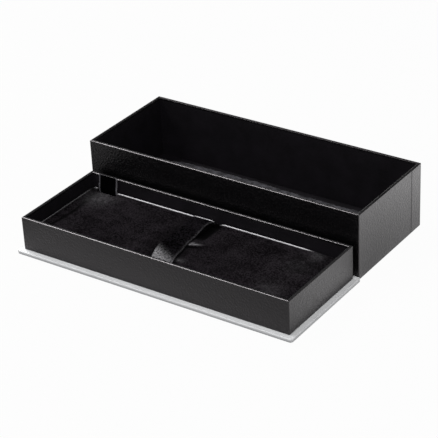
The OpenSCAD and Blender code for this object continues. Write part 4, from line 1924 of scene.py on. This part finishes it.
@dataclass
class Studio:
    """Camera, light, floor and white surround."""

    location: Place = (496.14, -661.11, 493.21)
    azimuth: float = 35.484
    elevation: float = 29.283
    roll: float = -2.843
    focal_px: float = 1704.7
    # Nearest and farthest distance that the camera sees, in metres
    clip: Flat = (0.01, 20.0)
    floor_half: float = 4000.0
    floor_drop: float = 0.2
    floor_share: float = 0.97
    floor_colour: str = "#989898"
    surround: float = 0.38
    # White of the surround in gloss, by the height of the ray's direction
    horizon: Fade = Fade(0.05, 0.28, 1.0, 0.03)
    softboxes: tuple[Softbox, ...] = (
        Softbox("rear_left_softbox", (-481.0, 150.0, 805.0), (420.0, 190.0), 4.9),
        Softbox("left_softbox", (-650.0, -270.0, 830.0), (350.0, 350.0), 3.2),
        Softbox("front_right_softbox", (400.0, -620.0, 760.0), (500.0, 500.0), 4.5),
    )
    # Painted reflection: level of the table in gloss, by places in metres. It grows along a direction turned
    # by these degrees.
    glow_turn: float = -96.0
    glow: Fade = Fade(-0.06, 0.01, 0.57, 1.35)
    # Along a second direction it turns dark before the lid, and light in a strip past the lid's left end.
    lid_turn: float = -144.5
    shade: Fade = Fade(0.058, 0.085, 1.0, 0.0)
    strip: tuple[float, ...] = (0.098, 0.106, 0.118, 0.13)
    strip_start: Fade = Fade(0.05, 0.075, 0.0, 0.95)
    # To the right of the case it is darker beside the lid and grows outwards.
    beside: Fade = Fade(0.08, 0.095)
    near: Fade = Fade(-0.058, -0.05, 0.0, -0.42)
    outward: Fade = Fade(-0.08, -0.2)

    def build(self) -> None:
        """Builds the studio and sets the view."""
        self._camera()
        for softbox in self.softboxes:
            softbox.build()
        self._world()
        self._floor()
        bpy.context.scene.view_settings.view_transform = "Standard"

    def _camera(self) -> None:
        """Camera at the photograph's view."""
        az, el, roll = (math.radians(v) for v in (self.azimuth, self.elevation, self.roll))
        forward = Vector((-math.sin(az) * math.cos(el), math.cos(az) * math.cos(el), -math.sin(el)))
        right = forward.cross(Vector((0, 0, 1))).normalized()
        up = right.cross(forward)
        across = math.cos(roll) * right + math.sin(roll) * up
        above = -math.sin(roll) * right + math.cos(roll) * up
        data = bpy.data.cameras.new("photo_camera")
        data.sensor_width = SENSOR_MM
        data.lens = self.focal_px * SENSOR_MM / IMAGE_PX
        data.clip_start, data.clip_end = self.clip
        camera = bpy.data.objects.new("photo_camera", data)
        turned = Matrix((across, above, -forward)).transposed().to_4x4()
        camera.matrix_world = Matrix.Translation(Vector(self.location) * MM) @ turned
        bpy.context.scene.collection.objects.link(camera)
        bpy.context.scene.camera = camera

    def _world(self) -> None:
        """Even surround that lights the case, and shows white at the horizon to the eye and to gloss."""
        world = bpy.data.worlds.new("studio_surround")
        world.use_nodes = True
        bpy.context.scene.world = world
        tree = world.node_tree
        tree.nodes.clear()
        eye, seen = self._seen(tree)
        where = add(tree, "ShaderNodeTexCoord")
        upward = add(tree, "ShaderNodeSeparateXYZ", links={0: where.outputs["Generated"]})
        fade = add(tree, "ShaderNodeMapRange", self.horizon.settings(), {"Value": upward.outputs["Z"]})
        level = add(tree, "ShaderNodeMath", {"operation": "MAXIMUM"}, {0: eye, 1: fade.outputs["Result"]})
        shown = add(tree, "ShaderNodeBackground", {"Color": WHITE}, {"Strength": level.outputs["Value"]})
        lit = add(tree, "ShaderNodeBackground", {"Color": WHITE, "Strength": self.surround})
        mixed = add(
            tree, "ShaderNodeMixShader",
            links={0: seen, 1: lit.outputs["Background"], 2: shown.outputs["Background"]},
        )
        add(tree, "ShaderNodeOutputWorld", links={"Surface": mixed.outputs["Shader"]})

    @staticmethod
    def _seen(tree: NodeTree) -> tuple[NodeSocket, NodeSocket]:
        """Tells rays apart.

        Args:
            tree: Tree of the world or of the table.

        Returns:
            1 for a ray from the eye, and 1 for a ray from the eye or from a glossy or clear surface.
        """
        path = add(tree, "ShaderNodeLightPath")
        gloss = add(
            tree, "ShaderNodeMath", {"operation": "MAXIMUM"},
            {0: path.outputs["Is Glossy Ray"], 1: path.outputs["Is Transmission Ray"]},
        )
        either = add(
            tree, "ShaderNodeMath", {"operation": "MAXIMUM"},
            {0: path.outputs["Is Camera Ray"], 1: gloss.outputs["Value"]},
        )
        return path.outputs["Is Camera Ray"], either.outputs["Value"]

    def _painted_reflection(self, tree: NodeTree) -> NodeSocket:
        """Painted reflection: the table's level as the case's gloss mirrors it, set out in fields that give
        the case lighter and darker reflections.

        Args:
            tree: Tree of the table's material.

        Returns:
            The level's socket.
        """
        where = add(tree, "ShaderNodeTexCoord").outputs["Object"]
        grow, lid, plan = (
            add(tree, "ShaderNodeSeparateXYZ", links={0: add(
                tree, "ShaderNodeMapping", {"Rotation": (0, 0, math.radians(turn))}, {"Vector": where}
            ).outputs["Vector"]}).outputs
            for turn in (self.glow_turn, self.lid_turn, 0.0)
        )
        glow, shade, strip_start, beside, near, outward = (
            add(tree, "ShaderNodeMapRange", fade.settings(), {"Value": socket}).outputs["Result"]
            for fade, socket in (
                (self.glow, grow["X"]), (self.shade, lid["X"]), (self.strip_start, lid["Y"]),
                (self.beside, plan["X"]), (self.near, lid["X"]), (self.outward, lid["Y"]),
            )
        )
        rising = add(tree, "ShaderNodeMath", {"operation": "MULTIPLY_ADD"}, {0: outward, 1: outward, 2: near})
        right = add(
            tree, "ShaderNodeMath", {"operation": "MULTIPLY_ADD", 2: 1.0},
            {0: rising.outputs["Value"], 1: beside},
        )
        both = add(tree, "ShaderNodeMath", {"operation": "MULTIPLY"}, {0: right.outputs["Value"], 1: shade})
        stops = list(zip(self.strip, (BLACK, WHITE, WHITE, BLACK)))
        strip = add(tree, "ShaderNodeValToRGB", {"stops": stops}, {"Fac": lid["X"]})
        lid_end = add(
            tree, "ShaderNodeMath", {"operation": "MULTIPLY"}, {0: strip.outputs["Color"], 1: strip_start}
        )
        level = add(
            tree, "ShaderNodeMath", {"operation": "MULTIPLY_ADD"},
            {0: glow, 1: both.outputs["Value"], 2: lid_end.outputs["Value"]},
        )
        return level.outputs["Value"]

    def _floor(self) -> None:
        """White table that keeps the case's shadow and shows a painted reflection level of its own in gloss.
        """
        material = bpy.data.materials.new("white table")
        material.use_nodes = True
        tree = material.node_tree
        tree.nodes.clear()
        eye, seen = self._seen(tree)
        # To the eye the table is plain white; in gloss it shows the painted reflection level
        level = add(tree, "ShaderNodeMix", {3: 1.0}, {0: eye, 2: self._painted_reflection(tree)})
        matt = add(tree, "ShaderNodeBsdfDiffuse", {"Color": linear(self.floor_colour)})
        white = add(tree, "ShaderNodeEmission", {"Color": WHITE}, {"Strength": level.outputs[0]})
        share = add(tree, "ShaderNodeMath", {"operation": "MULTIPLY", 1: self.floor_share}, {0: seen})
        mixed = add(
            tree, "ShaderNodeMixShader",
            links={0: share.outputs["Value"], 1: matt.outputs["BSDF"], 2: white.outputs["Emission"]},
        )
        add(tree, "ShaderNodeOutputMaterial", links={"Surface": mixed.outputs["Shader"]})
        h, z = self.floor_half, -self.floor_drop
        square = Shape([(-h, -h, z), (h, -h, z), (h, h, z), (-h, h, z)], [(0, 1, 2, 3)])
        floor = square.to_object("table", material)


def main() -> None:
    """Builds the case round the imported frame, then the studio."""
    logging.basicConfig(level=logging.INFO, format="%(name)s %(message)s")
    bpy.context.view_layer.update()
    finishes = Finishes()
    papering = Papering()
    BasePlate(papering).build(finishes)
    Tray(papering).build(finishes)
    Insert(StrapPath()).build(finishes)
    Lid(papering).build(finishes)
    Studio().build()


if __name__ == "__main__":
    main()
